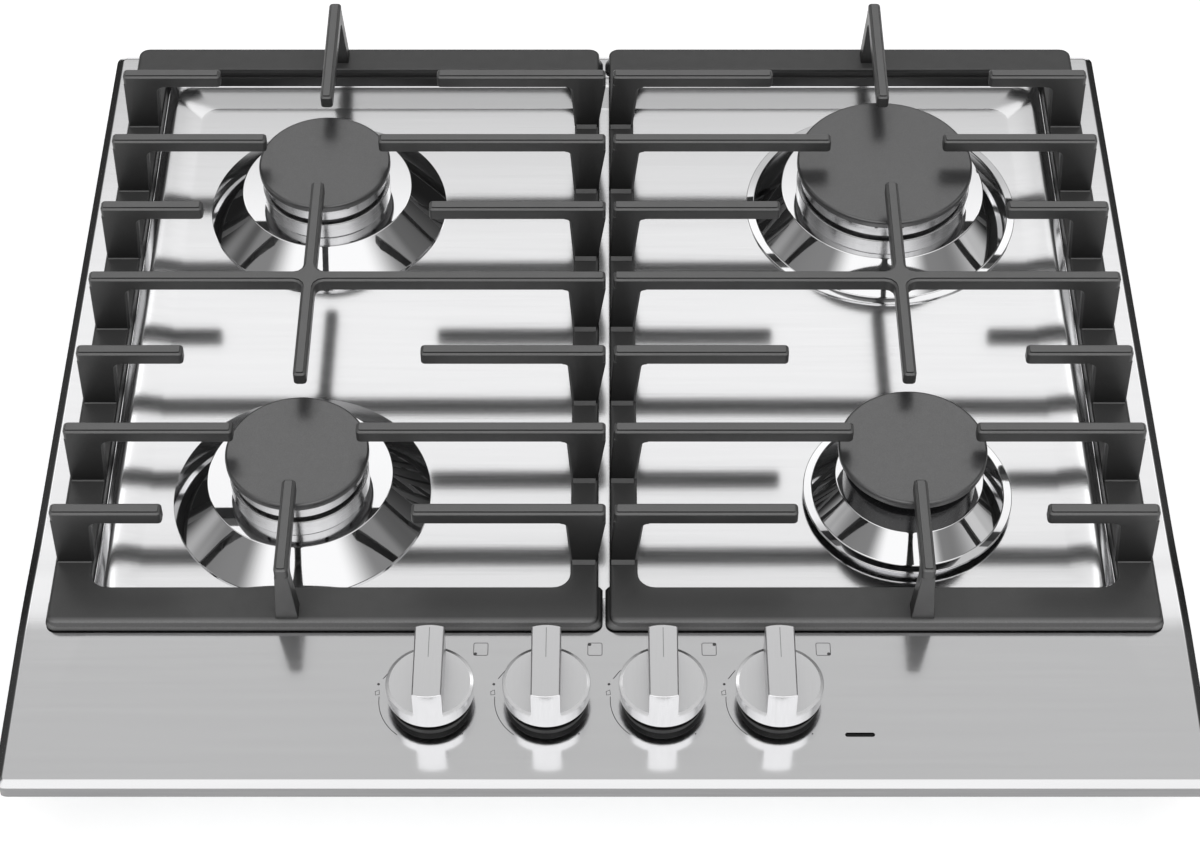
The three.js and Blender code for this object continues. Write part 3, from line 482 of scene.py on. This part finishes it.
def seal_foam():
    made = material("seal_foam", (0.03, 0.03, 0.032), 0.0, 0.9)
    cells = grain(made, 1800, detail=3.0, rough=0.8)
    return wire(made, tint(made, cells, (0.018, 0.018, 0.02), (0.05, 0.05, 0.052)), None,
                [(cells, 0.5, 0.0004)])


def ceramic():
    made = material("ceramic", (0.82, 0.8, 0.74), 0.0, 0.25)
    fine = grain(made, 1200, detail=2.0)
    return wire(made, tint(made, fine, (0.78, 0.76, 0.7), (0.86, 0.84, 0.78)),
                spread(made, fine, 0.2, 0.32))


MATERIALS = {
    "brushed_steel": brushed_steel(),
    "polished_steel": polished_steel(),
    "shaded_edge_steel": shaded_edge_steel(),
    "satin_metal": satin_metal(),
    "knob_rim": knob_rim(),
    "cast_iron": cast_iron(),
    "cap_enamel": cap_enamel(),
    "cast_aluminium": cast_aluminium(),
    "dark_casting": dark_casting(),
    "black_plastic": black_plastic(),
    "print_ink": print_ink(),
    "engraved_line": engraved_line(),
    "galvanised": galvanised(),
    "brass": plain_metal("brass", (0.55, 0.38, 0.14), (0.68, 0.49, 0.2), 0.25, 0.38),
    "pipe_aluminium": plain_metal("pipe_aluminium", (0.52, 0.53, 0.54), (0.66, 0.67, 0.68),
                                  0.3, 0.42),
    "seal_foam": seal_foam(),
    "ceramic": ceramic(),
}


# ------------------------------------------------------------------ dressing the pieces
SLOT_OF = {row["node"]: row["material_slot"] for row in frame["record"]["subparts"]}


def dress(obj, slot, *nodes, look=None):
    """Gives a new piece its material and slot, its body, and the solids that it stands for."""
    obj.data.materials.clear()
    obj.data.materials.append(MATERIALS[look or slot])
    attach(obj, nodes[0])
    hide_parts(*nodes)
    return obj


def attach(obj, node):
    """Makes a piece ride with the solid that it sits on."""
    bodies = frame["record"]["behaviour"]["bodies"]
    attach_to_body(obj, next(name for name, members in bodies.items() if node in members))
    return obj


for node_name, node_object in frame["nodes"].items():
    node_object.data.materials.clear()
    node_object.data.materials.append(MATERIALS[SLOT_OF[node_name]])


# ------------------------------------------------------------------ top plate
def frame_outline(box, away, corner, steps=6):
    left, right, front, back = box
    return rounded(box_outline(left + away, right - away, front + away, back - away), corner, steps)


def bend(points, steps=4):
    """An open line of (a, b) points whose inner corners are arcs. A corner's radius is its third
    number."""
    out = [tuple(points[0][:2])]
    for index in range(1, len(points) - 1):
        here = Vector(points[index][:2])
        radius = points[index][2] if len(points[index]) > 2 else 0
        if radius <= 0:
            out.append(tuple(here))
            continue
        back = (Vector(points[index - 1][:2]) - here).normalized()
        ahead = (Vector(points[index + 1][:2]) - here).normalized()
        half = math.acos(max(-1, min(1, back.dot(ahead)))) / 2
        reach = radius / math.tan(half)
        centre = here + (back + ahead).normalized() * (radius / math.sin(half))
        first, last = here + back * reach - centre, here + ahead * reach - centre
        turn = math.atan2(first.x * last.y - first.y * last.x, first.dot(last))
        for step in range(steps + 1):
            angle = turn * step / steps
            out.append((centre.x + first.x * math.cos(angle) - first.y * math.sin(angle),
                        centre.y + first.x * math.sin(angle) + first.y * math.cos(angle)))
    out.append(tuple(points[-1][:2]))
    return out


def well_rings(points):
    """Rings at each distance u inside the well's edge. The front wall is shorter than the
    others."""
    left, right, front, back = WELL
    rings = []
    for u, z in bend(points):
        short = u if u < 4 else 4 + (u - 4) * 0.2
        rings.append(at(frame_outline((left, right, front + short - u, back), u, 10), z))
    return rings


def plate_rings(points):
    return [at(frame_outline(PLATE, u, max(6 - u, 0.5)), z) for u, z in bend(points)]


RISE_START, FALL_START = -100, -172


def deck_rise(y):
    """The control panel is highest below the front rails and falls gently to the front edge."""
    share = min(max((RISE_START - y) / 58, 0), 1)
    return 2.5 * share * share * (3 - 2 * share) - 0.035 * max(FALL_START - y, 0)


def crown(obj, share):
    """Moves a piece's vertices up with the panel, by a share of the rise that depends on their
    height."""
    mesh = bmesh.new()
    mesh.from_mesh(obj.data)
    for y in (RISE_START, -115, -129, -143, -158, FALL_START):
        bmesh.ops.bisect_plane(mesh, geom=mesh.verts[:] + mesh.edges[:] + mesh.faces[:], dist=1e-7,
                               plane_co=(0, y * MM, 0), plane_no=(0, 1, 0))
    for vertex in mesh.verts:
        z = vertex.co.z / MM
        vertex.co.z = (z + deck_rise(vertex.co.y / MM) * min(max(share(z), 0), 1)) * MM
    mesh.to_mesh(obj.data)
    mesh.free()


def make_plate():
    # the floor's rise towards the wall: distances inside the well's edge, and heights
    foot = ((3.4, 4.0), (5.6, 3.2), (8, 2.35), (12, 1.35), (16, 0.56), (19.75, 0.04), (20, 0))
    under_well = well_rings([(22, WELL_FLOOR - SHEET), (12, WELL_FLOOR - 0.5), (3.6, 47.6),
                             (-0.8, PANEL - SHEET, 1.0), (-3, PANEL - SHEET)])
    under_edge = plate_rings([(6, PANEL - SHEET), (SHEET, PANEL - SHEET, 4), (SHEET, 49), (12, 49),
                              (12, 48), (SHEET, 48), (SHEET, 45.1), (0, 45.1),
                              (0, PANEL - 1.9, 0.4), (4.2, PANEL, 3), (9, PANEL)])
    upper_well = well_rings([(-3, PANEL), (0.9, PANEL, 0.8)] +
                            [(u, WELL_FLOOR + rise) for u, rise in foot] + [(22, WELL_FLOOR)])
    plate = piece("top_plate_skin", loft(under_well + under_edge + upper_well))
    holes = []
    for name, (x, y) in PLACES.items():
        radius = BASES[name] + (DISHES[name][0] - BASES[name]) / 2
        profile = [(0, 40), (radius, 40), (radius, 60), (0, 60)]
        holes.append(piece("hole", turned(profile, x, y, 64)))
    for x in KNOB_XS:
        holes.append(piece("hole", turned([(0, 50), (6, 50), (6, 60), (0, 60)], x, KNOB_Y, 48)))
    slot = rounded(box_round(WINDOW_X, WINDOW_Y, 7.2, 1.2), 1.19, 6)
    holes.append(piece("hole", loft([at(slot, 50), at(slot, 60)])))
    combine(plate, holes, "DIFFERENCE")
    crown(plate, lambda z: (z - 49) / 4)
    settle(plate, 40)
    dress(plate, "brushed_steel", "top_plate")
    # the outer skirt faces below the panel take the darker steel copy: painted shade
    plate.data.materials.append(MATERIALS["shaded_edge_steel"])
    for polygon in plate.data.polygons:
        middle = polygon.center / MM
        outside = max(abs(middle.x) - 290, abs(middle.y) - 259) > 0
        if middle.z < 54 and abs(polygon.normal.z) < 0.3 and outside:
            polygon.material_index = 1
    return plate


# ------------------------------------------------------------------ burners
DISHES = {"front_left": (47.6, 66.3, 0.0, 0.0), "rear_left": (47.6, 66.3, 0.0, 0.0),
          "rear_right": (56.9, 71.7, 4.7, 0.0), "front_right": (38.0, 49.5, 4.6, 3.6)}
BASES = {"front_left": 35.7, "rear_left": 35.7, "rear_right": 48.5, "front_right": 34.0}
CROWNS = {"front_left": 34.0, "rear_left": 34.0, "rear_right": 46.5, "front_right": 31.5}
CAPS = {"front_left": 36.75, "rear_left": 36.75, "rear_right": 49.0, "front_right": 38.0}
PORTS = {"front_left": 14, "rear_left": 14, "rear_right": 20, "front_right": 12}
EXTRA = {"front_left": 0.0, "rear_left": 0.0, "rear_right": 0.0, "front_right": 3.2}


def base_top(name):
    return DISH_TOP + BASE_HEIGHT + EXTRA[name]


def make_dish(name):
    x, y = PLACES[name]
    top, foot, lip, rise = DISHES[name]
    low = WELL_FLOOR + rise
    hole = BASES[name] - 4.7
    rim = max(lip, 0.5)
    if lip:
        edge = [(foot + rim, low + 0.5, 0.45), (foot + rim, low + 1, 0.45)]
    else:
        edge = [(foot + rim, low + 1, 0.4)]
    wall = [(foot, WELL_FLOOR), (foot, low)] if rise else []
    inside = [(hole, DISH_TOP - 1), (top - 1, DISH_TOP - 1), (foot - 1, low + 0.5),
              (foot - 1, WELL_FLOOR)]
    outside = [(foot + 0.3, low + 1.2, 1.2 if lip else 0.4), (top, DISH_TOP, 1.0), (hole, DISH_TOP)]
    profile = bend(inside + wall + [(foot + rim, low)] + edge + outside)
    dish = piece("dish_skin_" + name, turned(profile, x, y, 160), 30)
    settle(dish, 30)
    return dress(dish, "polished_steel", "burner_dish_" + name)


def make_base(name):
    x, y = PLACES[name]
    base = BASES[name]
    top = base_top(name)
    barrel = base - 5
    recess = CROWNS[name] - 4.1
    profile = bend([(4.8, BARREL_BOTTOM), (barrel / 2, BARREL_BOTTOM), (barrel, DISH_TOP - 20, 2),
                    (barrel, DISH_TOP), (base, DISH_TOP), (base, top, 0.5), (recess, top, 0.3),
                    (recess, top - CROWN_SUNK), (4.8, BARREL_BOTTOM + 5)])
    ring = piece("base_skin_" + name, turned(profile, x, y, 128), 30)
    settle(ring, 30)
    return dress(ring, SLOT_OF["burner_base_" + name], "burner_base_" + name)


def make_crown(name):
    x, y = PLACES[name]
    crown = CROWNS[name]
    seat = base_top(name) - CROWN_SUNK
    shoulder = seat + CROWN_FOOT
    top = shoulder + CROWN_WALL
    neck = crown - 4.4
    profile = bend([(neck - 4.4, seat), (neck, seat, 0.3), (neck, shoulder), (crown, shoulder, 0.5),
                    (crown, top, 0.3), (neck - 4.4, top)], 3)
    ring = piece("crown_skin_" + name, turned(profile, x, y, 128), 30)
    cutters = []
    for port in range(PORTS[name]):
        angle = (port + 0.5) / PORTS[name] * 2 * math.pi
        out = Vector((math.cos(angle), math.sin(angle)))
        side = Vector((-out.y, out.x))
        outline = []
        for away, across in ((-10, -0.85), (10, -0.85), (10, 0.85), (-10, 0.85)):
            spot = Vector((x, y)) + out * (crown + away) + side * across
            outline.append(tuple(spot))
        cutters.append(piece("cut", loft([at(outline, top - 2.4), at(outline, top + 2)])))
    combine(ring, cutters, "DIFFERENCE")
    settle(ring, 30)
    return dress(ring, SLOT_OF["burner_crown_" + name], "burner_crown_" + name)


def make_cap(name):
    x, y = PLACES[name]
    cap = CAPS[name]
    bottom = base_top(name) + CROWN_SUNK + CROWN_WALL
    top = bottom + 4.8
    spigot = CROWNS[name] - 9.1
    profile = bend([(0, bottom - 1.4), (spigot, bottom - 1.4, 0.2), (spigot, bottom),
                    (cap, bottom, 1.3), (cap, top, 1.5), (0, top)], 6)
    disc = piece("cap_skin_" + name, turned(profile, x, y, 160), 40)
    settle(disc, 40)
    return dress(disc, "cap_enamel", "burner_cap_" + name)


def make_electrode(name):
    x, y = PLACES[name]
    y += BASES[name] - 2.4
    seat = DISH_TOP - 1.3
    tip = base_top(name) + CROWN_SUNK - 0.3
    profile = bend([(0, seat - 12), (2.3, seat - 12, 0.3), (2.3, seat, 0.2), (2, seat),
                    (2, tip - 2, 0.5), (0.7, tip, 0.3), (0, tip)], 3)
    rod = piece("electrode_skin_" + name, turned(profile, x, y, 32), 40)
    settle(rod, 40)
    return dress(rod, "ceramic", "spark_electrode_" + name)


# ------------------------------------------------------------------ pan supports
ROW_PITCH = (REAR_Y - FRONT_Y) / 4
MIDDLE_Y = (REAR_Y + FRONT_Y) / 2
RAIL_OUTER = 276.0
RAIL_FRONT = -169.9
RAIL_BACK = 255.0
RAIL_CORNER = 5.5
CROSS_INNER_FRONT = -147.8
CROSS_INNER_BACK = 236.6
SPINE_TIPS = (FRONT_Y - 34, FRONT_Y + 35.4, REAR_Y - 34.6, REAR_Y + 32.4)


def bar(outline):
    """A cast finger from its outline: flat top with a softened bevel, lightly rounded underside."""
    low = [(0.7, FINGER_UNDER), (0.2, FINGER_UNDER + 0.2), (0, FINGER_UNDER + 0.7)]
    high = [(0, FINGER_TOP - 1.6), (0.2, FINGER_TOP - 1.2), (1.1, FINGER_TOP - 0.55),
            (1.2, FINGER_TOP - 0.8), (1.45, FINGER_TOP - 0.8), (1.6, FINGER_TOP)]
    return piece("finger", loft([at(inset(outline, away), z) for away, z in low + high]))


def finger(left, right, front, back):
    return bar(rounded(box_outline(left, right, front, back), 2.0, 3))


def cross(left, right, x):
    spine, fillet = SPINE_HALF, 5.0
    front, back = SPINE_TIPS[1], SPINE_TIPS[2]
    low, high = MIDDLE_Y - FINGER_HALF, MIDDLE_Y + FINGER_HALF
    corners = [(left, low, 2.0), (x - spine, low, fillet), (x - spine, front, 2.0),
               (x + spine, front, 2.0), (x + spine, low, fillet), (right, low, 2.0),
               (right, high, 2.0), (x + spine, high, fillet), (x + spine, back, 2.0),
               (x - spine, back, 2.0), (x - spine, high, fillet), (left, high, 2.0)]
    return bar(rounded(corners, 2.0, 3))


def curve_levels(foot, head, fillet, toe):
    """Heights of a leg with how far it swells into the finger above and at its toe below."""
    levels = []
    for step in range(4):
        angle = math.pi / 2 * step / 3
        levels.append((foot + toe * (1 - math.cos(angle)), 0.0, toe * (1 - math.sin(angle))))
    levels.append(((foot + head) / 2, 0.0, 0.0))
    for step in range(6):
        angle = math.pi / 2 * step / 5
        swell = fillet * (1 - math.cos(angle))
        levels.append((head - fillet + fillet * math.sin(angle), swell, 0.0))
    levels.append((head + 1.4, fillet, 0.0))
    return levels


def leg(y, end_top, end_foot, reach, top_length, foot_length, step):
    """A tapered leg with bevelled corners, and the narrow ledge across the front of its foot."""
    foot, head = RAIL_TOP - 0.6, FINGER_UNDER
    rings = []
    for z, swell, _ in curve_levels(foot, head, 3.4, 0.0):
        share = min((z - foot) / (head - foot), 1)
        outer = end_foot + (end_top - end_foot) * share
        length = foot_length + (top_length - foot_length) * share + swell
        inner = outer + reach * length
        front, back, flank = y - FINGER_HALF, y + FINGER_HALF, inner - reach * 1.1
        corners = [(outer, front, 0.7), (flank, front, 0.5), (inner, y - 2.4, 0.5),
                   (inner, y + 2.4, 0.5), (flank, back, 0.5), (outer, back, 0.7)]
        rings.append(at(rounded(corners if reach > 0 else corners[::-1], 0.5, 2), z))
    low, high = sorted((end_foot + reach * 0.5, end_foot + reach * (foot_length - 0.9)))
    ledge = loft([at(rounded(box_outline(low, high, y - FINGER_HALF - out, y), 0.4, 2), z)
                  for out, z in ((step, foot), (step, foot + 0.8), (0.1, foot + 0.6 + step))])
    return piece("leg", loft(rings)), piece("ledge", ledge)


def strut(x, face, inward):
    foot, head = RAIL_TOP - 0.6, FINGER_UNDER
    rings = []
    for z, swell, toe in curve_levels(foot, head, 4.6, 1.0):
        share = min((z - foot) / (head - foot), 1)
        half = 5.7 + (SPINE_HALF - 5.7) * share + toe
        depth = 10 + (8 - 10) * share + swell + toe
        corners = [(x - half, face), (x + half, face), (x + half, face + inward * depth),
                   (x - half, face + inward * depth)]
        rings.append(at(rounded(corners if inward > 0 else corners[::-1], 0.6, 2), z))
    return piece("strut", loft(rings))


def rail_outline(left, right, front, back, away, side):
    """An outline moved inwards by away, or outwards on every side but the one at the slot."""
    slot = max(away, 0)
    low, high = (away, slot) if side < 0 else (slot, away)
    return rounded(box_outline(left + low, right - high, front + away, back - away), RAIL_CORNER, 6)


def rail(left, right, left_width, right_width, side):
    """The frame on the rim: one closed section round it, with its own width on each side."""
    section = []
    for away, z in bend([(0.4, PANEL), (0.4, PANEL + 0.7), (-0.7, PANEL + 0.9, 0.2),
                         (-0.2, PANEL + 3.4, 1.5), (0, RAIL_TOP, 1.5), (3, RAIL_TOP)], 3):
        section.append(at(rail_outline(left, right, RAIL_FRONT, RAIL_BACK, away, side), z))
    opening = (left + left_width, right - right_width, CROSS_INNER_FRONT, CROSS_INNER_BACK)
    for away, z in bend([(-2, RAIL_TOP), (0, RAIL_TOP, 0.9), (0, RAIL_TOP - 2.6, 0.3),
                         (-1.2, RAIL_TOP - 3.2, 0.5), (-1.2, PANEL)], 3):
        section.append(at(frame_outline(opening, away, 9, 6), z))
    return piece("rail", loft(section, closed=True))


def toe_board(left, right, front, back, side, corner=RAIL_CORNER):
    """The flared foot of a cross rail, which closes most of the slot beside it."""
    levels = bend([(1.0, PANEL + 4.6), (-0.1, PANEL + 3.2, 0.8), (-1.2, PANEL + 1.4, 0.5),
                   (-1.2, PANEL + 0.9, 0.2), (0.4, PANEL + 0.7), (0.4, PANEL)], 3)
    rings = []
    for away, z in reversed(levels):
        slot = away - 1.0
        low, high = (away, slot) if side < 0 else (slot, away)
        outline = box_outline(left + low, right - high, front + away, back)
        rings.append(at(rounded(outline, corner, 6), z))
    return piece("toe", loft(rings))


def make_support(side):
    x = side * BURNER_X
    outer_rail, inner_rail = side * RAIL_OUTER, (-3.2 if side < 0 else 2.5)
    outer_top, inner_top = side * (RAIL_OUTER - 2), inner_rail + (3.75 if side < 0 else 2.15)
    inner_foot = inner_rail + side * (0.8 if side < 0 else 0.2)
    left, right = sorted((outer_rail, inner_rail))
    widths = (19, 14) if side < 0 else (14, 19)
    whole = rail(left, right, *widths, side)
    beside_slot = sorted((inner_rail, inner_rail + side * 10))
    parts = [toe_board(left, right, RAIL_FRONT, CROSS_INNER_FRONT - 1, side),
             toe_board(*beside_slot, RAIL_FRONT + 9, CROSS_INNER_FRONT + 2.2, side, 0.6),
             toe_board(left, right, CROSS_INNER_BACK + 5, RAIL_BACK - 1, side)]
    for row in range(-3, 4):
        y = MIDDLE_Y + row * ROW_PITCH
        parts.extend(leg(y, outer_top, outer_rail - side, -side, 19.8, 18.4, 0.7))
        parts.extend(leg(y, inner_top, inner_foot, side, 19.5 - side * inner_top, 13.4, 1.9))
        if row == 0:
            parts.append(cross(*sorted((outer_top, inner_top)), x))
            continue
        reach = 31.2 if abs(row) == 2 else 61.6
        for end, tip in ((outer_top, x + side * reach), (inner_top, x - side * reach)):
            low, high = sorted((end, tip))
            parts.append(finger(low, high, y - FINGER_HALF, y + FINGER_HALF))
    rib = box_outline(left + widths[0] + 5, right - widths[1] - 5,
                      CROSS_INNER_BACK - 0.1, CROSS_INNER_BACK + 2.4)
    parts.append(piece("rib", slab(rib, PANEL - 5.2, PANEL + 2, 0.5, 0.1, 2)))
    front, back = RAIL_FRONT + 2.2, RAIL_BACK - 3
    parts.append(finger(x - SPINE_HALF, x + SPINE_HALF, front, SPINE_TIPS[0]))
    parts.append(finger(x - SPINE_HALF, x + SPINE_HALF, SPINE_TIPS[3], back))
    parts.append(strut(x, front, 1))
    parts.append(strut(x, back, -1))
    combine(whole, parts, "UNION")
    crown(whole, lambda z: (62.5 - z) / 4.5)
    name = "left" if side < 0 else "right"
    whole.name = "support_skin_" + name
    settle(whole, 38)
    return dress(whole, "cast_iron", "pan_support_" + name)


# ------------------------------------------------------------------ controls
def make_knob(name, x):
    bottom, disc_top, top = PANEL + 8.4, PANEL + 16.2, PANEL + 33.6
    radius = 21.25
    disc = piece("knob_skin_" + name, turned(bend(
        [(0, bottom), (radius, bottom, 0.3), (radius, disc_top - 0.5, 0.2),
         (radius - 1.7, disc_top, 0.3), (0, disc_top)], 3), x, KNOB_Y, 192), 20)
    drum = piece("drum", turned(bend(
        [(0, bottom + 1), (radius, bottom + 1), (radius, top, 0.4), (0, top)], 3),
        x, KNOB_Y, 192), 20)
    rings = []
    for away, z in ((0, bottom), (0, top - 0.6), (0.18, top - 0.18), (0.6, top)):
        front, back = 6.85 - away, 7.25 - away
        rings.append([(x - front, KNOB_Y - 50, z), (x + front, KNOB_Y - 50, z),
                      (x + back, KNOB_Y + 50, z), (x - back, KNOB_Y + 50, z)])
    combine(drum, [piece("slab", loft(rings))], "INTERSECT")
    combine(disc, [drum], "UNION")
    hollow = piece("hollow", turned(
        [(0, bottom - 1), (18, bottom - 1), (18, bottom + 4), (0, bottom + 4)], x, KNOB_Y, 96))
    combine(disc, [hollow], "DIFFERENCE")
    settle(disc, 16)
    disc.data.materials.clear()
    dress(disc, "satin_metal", "knob_" + name)
    # the disc's side and the grip's outer ends take the lighter rim metal: real polish, and partly
    # painted highlight
    disc.data.materials.append(MATERIALS["knob_rim"])
    for polygon in disc.data.polygons:
        middle = polygon.center / MM
        across = math.hypot(middle.x - x, middle.y - KNOB_Y)
        if across > radius - 1.9 and abs(polygon.normal.z) < 0.985:
            polygon.material_index = 1
    line = rounded(box_outline(x - 0.16, x + 0.16, KNOB_Y + 2, KNOB_Y + 19.6), 0.15, 3)
    mark = piece("knob_mark_" + name, slab(line, top - 0.3, top + 0.02, 0.01, 0.01, 1))
    mark.data.materials.append(MATERIALS["engraved_line"])
    attach(mark, "knob_" + name)
    bezel = piece("bezel_skin_" + name, turned(bend(
        [(6, PANEL), (19.2, PANEL), (20.2, PANEL + 4.6, 0.6), (6.8, PANEL + 6.2, 0.5),
         (6, PANEL + 6.2)]), x, KNOB_Y, 128), 30)
    settle(bezel, 30)
    dress(bezel, "black_plastic", "knob_bezel_" + name)


def make_window():
    level = PANEL + deck_rise(WINDOW_Y)
    lens = rounded(box_round(WINDOW_X, WINDOW_Y, 6.9, 0.9), 0.88, 8)
    flange = rounded(box_round(WINDOW_X, WINDOW_Y, 10.2, 4.2), 4.1, 8)
    window = piece("window_skin", loft(
        [at(flange, PANEL - 3), at(flange, PANEL - 1), at(lens, PANEL - 1), at(lens, level - 0.6),
         at(inset(lens, 0.3), level - 0.4)]))
    settle(window, 30)
    return dress(window, "black_plastic", "indicator_window")


# ------------------------------------------------------------------ printed marks
PRINT_LOW = PANEL - 0.02
PRINT_HIGH = PANEL + 0.03


def stroke(points, width, closed=False):
    """A flat printed line through (x, y) points on the control panel."""
    count = len(points)
    sides = ([], [])
    for index in range(count):
        before = Vector(points[index - 1] if closed or index else points[0])
        after = Vector(points[(index + 1) % count] if closed or index + 1 < count else points[-1])
        along = (after - before).normalized()
        across = Vector((-along.y, along.x)) * width / 2
        here = Vector(points[index])
        sides[0].append(tuple(here - across))
        sides[1].append(tuple(here + across))
    rings = []
    for index in range(count):
        (a, b), (c, d) = sides[0][index], sides[1][index]
        rings.append([(a, b, PRINT_LOW), (c, d, PRINT_LOW), (c, d, PRINT_HIGH), (a, b, PRINT_HIGH)])
    return loft(rings, closed)


def dot(x, y, radius, steps=14):
    angles = [2 * math.pi * s / steps for s in range(steps)]
    ring = [(x + radius * math.cos(a), y + radius * math.sin(a)) for a in angles]
    return loft([at(ring, PRINT_LOW), at(ring, PRINT_HIGH)])


def join(skins):
    verts, faces = [], []
    for more_verts, more_faces in skins:
        start = len(verts)
        verts.extend(more_verts)
        faces.extend(tuple(start + index for index in face) for face in more_faces)
    return verts, faces


def arc_points(x, y, radius, start, end, steps=24):
    angles = [math.radians(start + (end - start) * s / steps) for s in range(steps + 1)]
    return [(x + radius * math.cos(a), y + radius * math.sin(a)) for a in angles]


def make_marks():
    skins = []
    corners = {"front_left": (-1, -1), "rear_left": (-1, 1),
               "rear_right": (1, 1), "front_right": (1, -1)}
    for name, x in zip(BURNERS, KNOB_XS):
        cx, cy = x + 23.3, -181.4
        half_x, half_y = 3.5, 3.65
        outline = rounded(box_round(cx, cy, half_x, half_y), 0.8, 3)
        skins.append(stroke(outline, 0.32, closed=True))
        side_x, side_y = corners[name]
        skins.append(dot(cx + side_x * (half_x - 0.9), cy + side_y * (half_y - 0.9), 0.85))
        skins.append(stroke([(x - 20.4, KNOB_Y + 17.1), (x - 23.9, KNOB_Y + 12.2)], 0.4))
        skins.append(stroke(arc_points(x, KNOB_Y, 25.4, 176, 232, 24), 0.36))
        skins.append(dot(x - 26, KNOB_Y + 9, 0.7))
        flame = [(x - 27.4, KNOB_Y + 4.7), (x - 25.6, KNOB_Y + 5.7),
                 (x - 25.3, KNOB_Y + 3.1), (x - 27.2, KNOB_Y + 2.7)]
        skins.append(stroke(flame, 0.34, closed=True))
        skins.append(dot(x + 15.7, KNOB_Y - 19.5, 0.4))
    marks = piece("printed_marks", join(skins))
    for vertex in marks.data.vertices:
        vertex.co.z += deck_rise(vertex.co.y / MM) * MM
    marks.data.materials.append(MATERIALS["print_ink"])
    return attach(marks, "top_plate")


make_plate()
for burner_name in BURNERS:
    make_dish(burner_name)
    make_base(burner_name)
    make_crown(burner_name)
    make_cap(burner_name)
    make_electrode(burner_name)
make_support(-1)
make_support(1)
for burner_name, knob_x in zip(BURNERS, KNOB_XS):
    make_knob(burner_name, knob_x)
make_window()
make_marks()


# ------------------------------------------------------------------ stage and light
FLOOR_GLOW = 0.64


def make_floor():
    """A pale floor that shows white, less the object's shadow, to the camera and in reflections."""
    mesh = bpy.data.meshes.new("floor")
    mesh.from_pydata([(-15, -15, 0), (15, -15, 0), (15, 15, 0), (-15, 15, 0)], [], [(0, 1, 2, 3)])
    floor = bpy.data.objects.new("floor", mesh)
    bpy.context.scene.collection.objects.link(floor)
    made = material("floor", (0.86, 0.86, 0.86), 0.0, 0.8, Specular_IOR_Level=0.0)
    path = add(made, "ShaderNodeLightPath")
    seen = maths(made, "MAXIMUM", path.outputs["Is Camera Ray"], path.outputs["Is Glossy Ray"])
    either = maths(made, "MAXIMUM", seen, path.outputs["Is Transmission Ray"])
    glow = add(made, "ShaderNodeMath", operation="MULTIPLY")
    glow.inputs[1].default_value = FLOOR_GLOW
    link(made, either, glow.inputs[0])
    shader = made.node_tree.nodes["Principled BSDF"]
    shader.inputs["Emission Color"].default_value = (1, 1, 1, 1)
    link(made, glow.outputs["Value"], shader.inputs["Emission Strength"])
    mesh.materials.append(made)


def make_world():
    """Studio light by direction: dark at the horizon, a bright ceiling, and a soft box behind."""
    world = bpy.data.worlds.new("world")
    bpy.context.scene.world = world
    world.use_nodes = True
    tree = world.node_tree

    def node(kind, *values, **settings):
        made = tree.nodes.new(kind)
        for name, value in settings.items():
            setattr(made, name, value)
        for index, value in enumerate(values):
            if isinstance(value, (int, float)):
                made.inputs[index].default_value = value
            else:
                tree.links.new(value, made.inputs[index])
        return made.outputs[0]

    def calc(operation, *values):
        return node("ShaderNodeMath", *values, operation=operation)

    def ease(value, start, end, low, high):
        return node("ShaderNodeMapRange", value, start, end, low, high,
                    interpolation_type="SMOOTHSTEP")

    coordinates = tree.nodes.new("ShaderNodeTexCoord")
    direction = tree.nodes.new("ShaderNodeSeparateXYZ")
    tree.links.new(coordinates.outputs["Generated"], direction.inputs["Vector"])
    x, y, z = (direction.outputs[axis] for axis in "XYZ")
    height = calc("DEGREES", calc("ARCSINE", z))
    lift = calc("DEGREES", calc("ARCTAN2", z, y))
    across = calc("DIVIDE", calc("ABSOLUTE", x), calc("MAXIMUM", z, 0.02))

    low = ease(height, 12, 38, 0.06, 0.6)
    over = ease(lift, 86, 97, 0, 0.52)
    aside = ease(across, 0.55, 1.05, 1, 0.22)
    front = ease(lift, 144, 166, 1, 0.1)
    sky = calc("MULTIPLY", calc("MULTIPLY", calc("ADD", low, over), front), aside)
    from_front = calc("DEGREES", calc("ARCTAN2", calc("ABSOLUTE", x), calc("MULTIPLY", y, -1.0)))
    walls = calc("MULTIPLY", ease(from_front, 20, 35, 0, 0.5), ease(from_front, 95, 110, 1, 0))
    walls = calc("MULTIPLY", walls, ease(height, 18, 30, 1, 0))
    box = calc("MULTIPLY", ease(lift, 41.0, 46.0, 0, 0.56), ease(lift, 53.2, 54.6, 1, 0))
    fade = calc("MULTIPLY", ease(lift, 46, 53, 1, 0.8), ease(across, 0.56, 0.66, 1, 0))
    box = calc("MULTIPLY", box, fade)
    box = calc("MULTIPLY", box, ease(across, 0.33, 0.42, 1, 1.9))
    total = calc("ADD", calc("ADD", sky, walls), box)
    background = tree.nodes["Background"]
    background.inputs["Color"].default_value = (1, 1, 1, 1)
    tree.links.new(total, background.inputs["Strength"])


make_floor()
make_world()
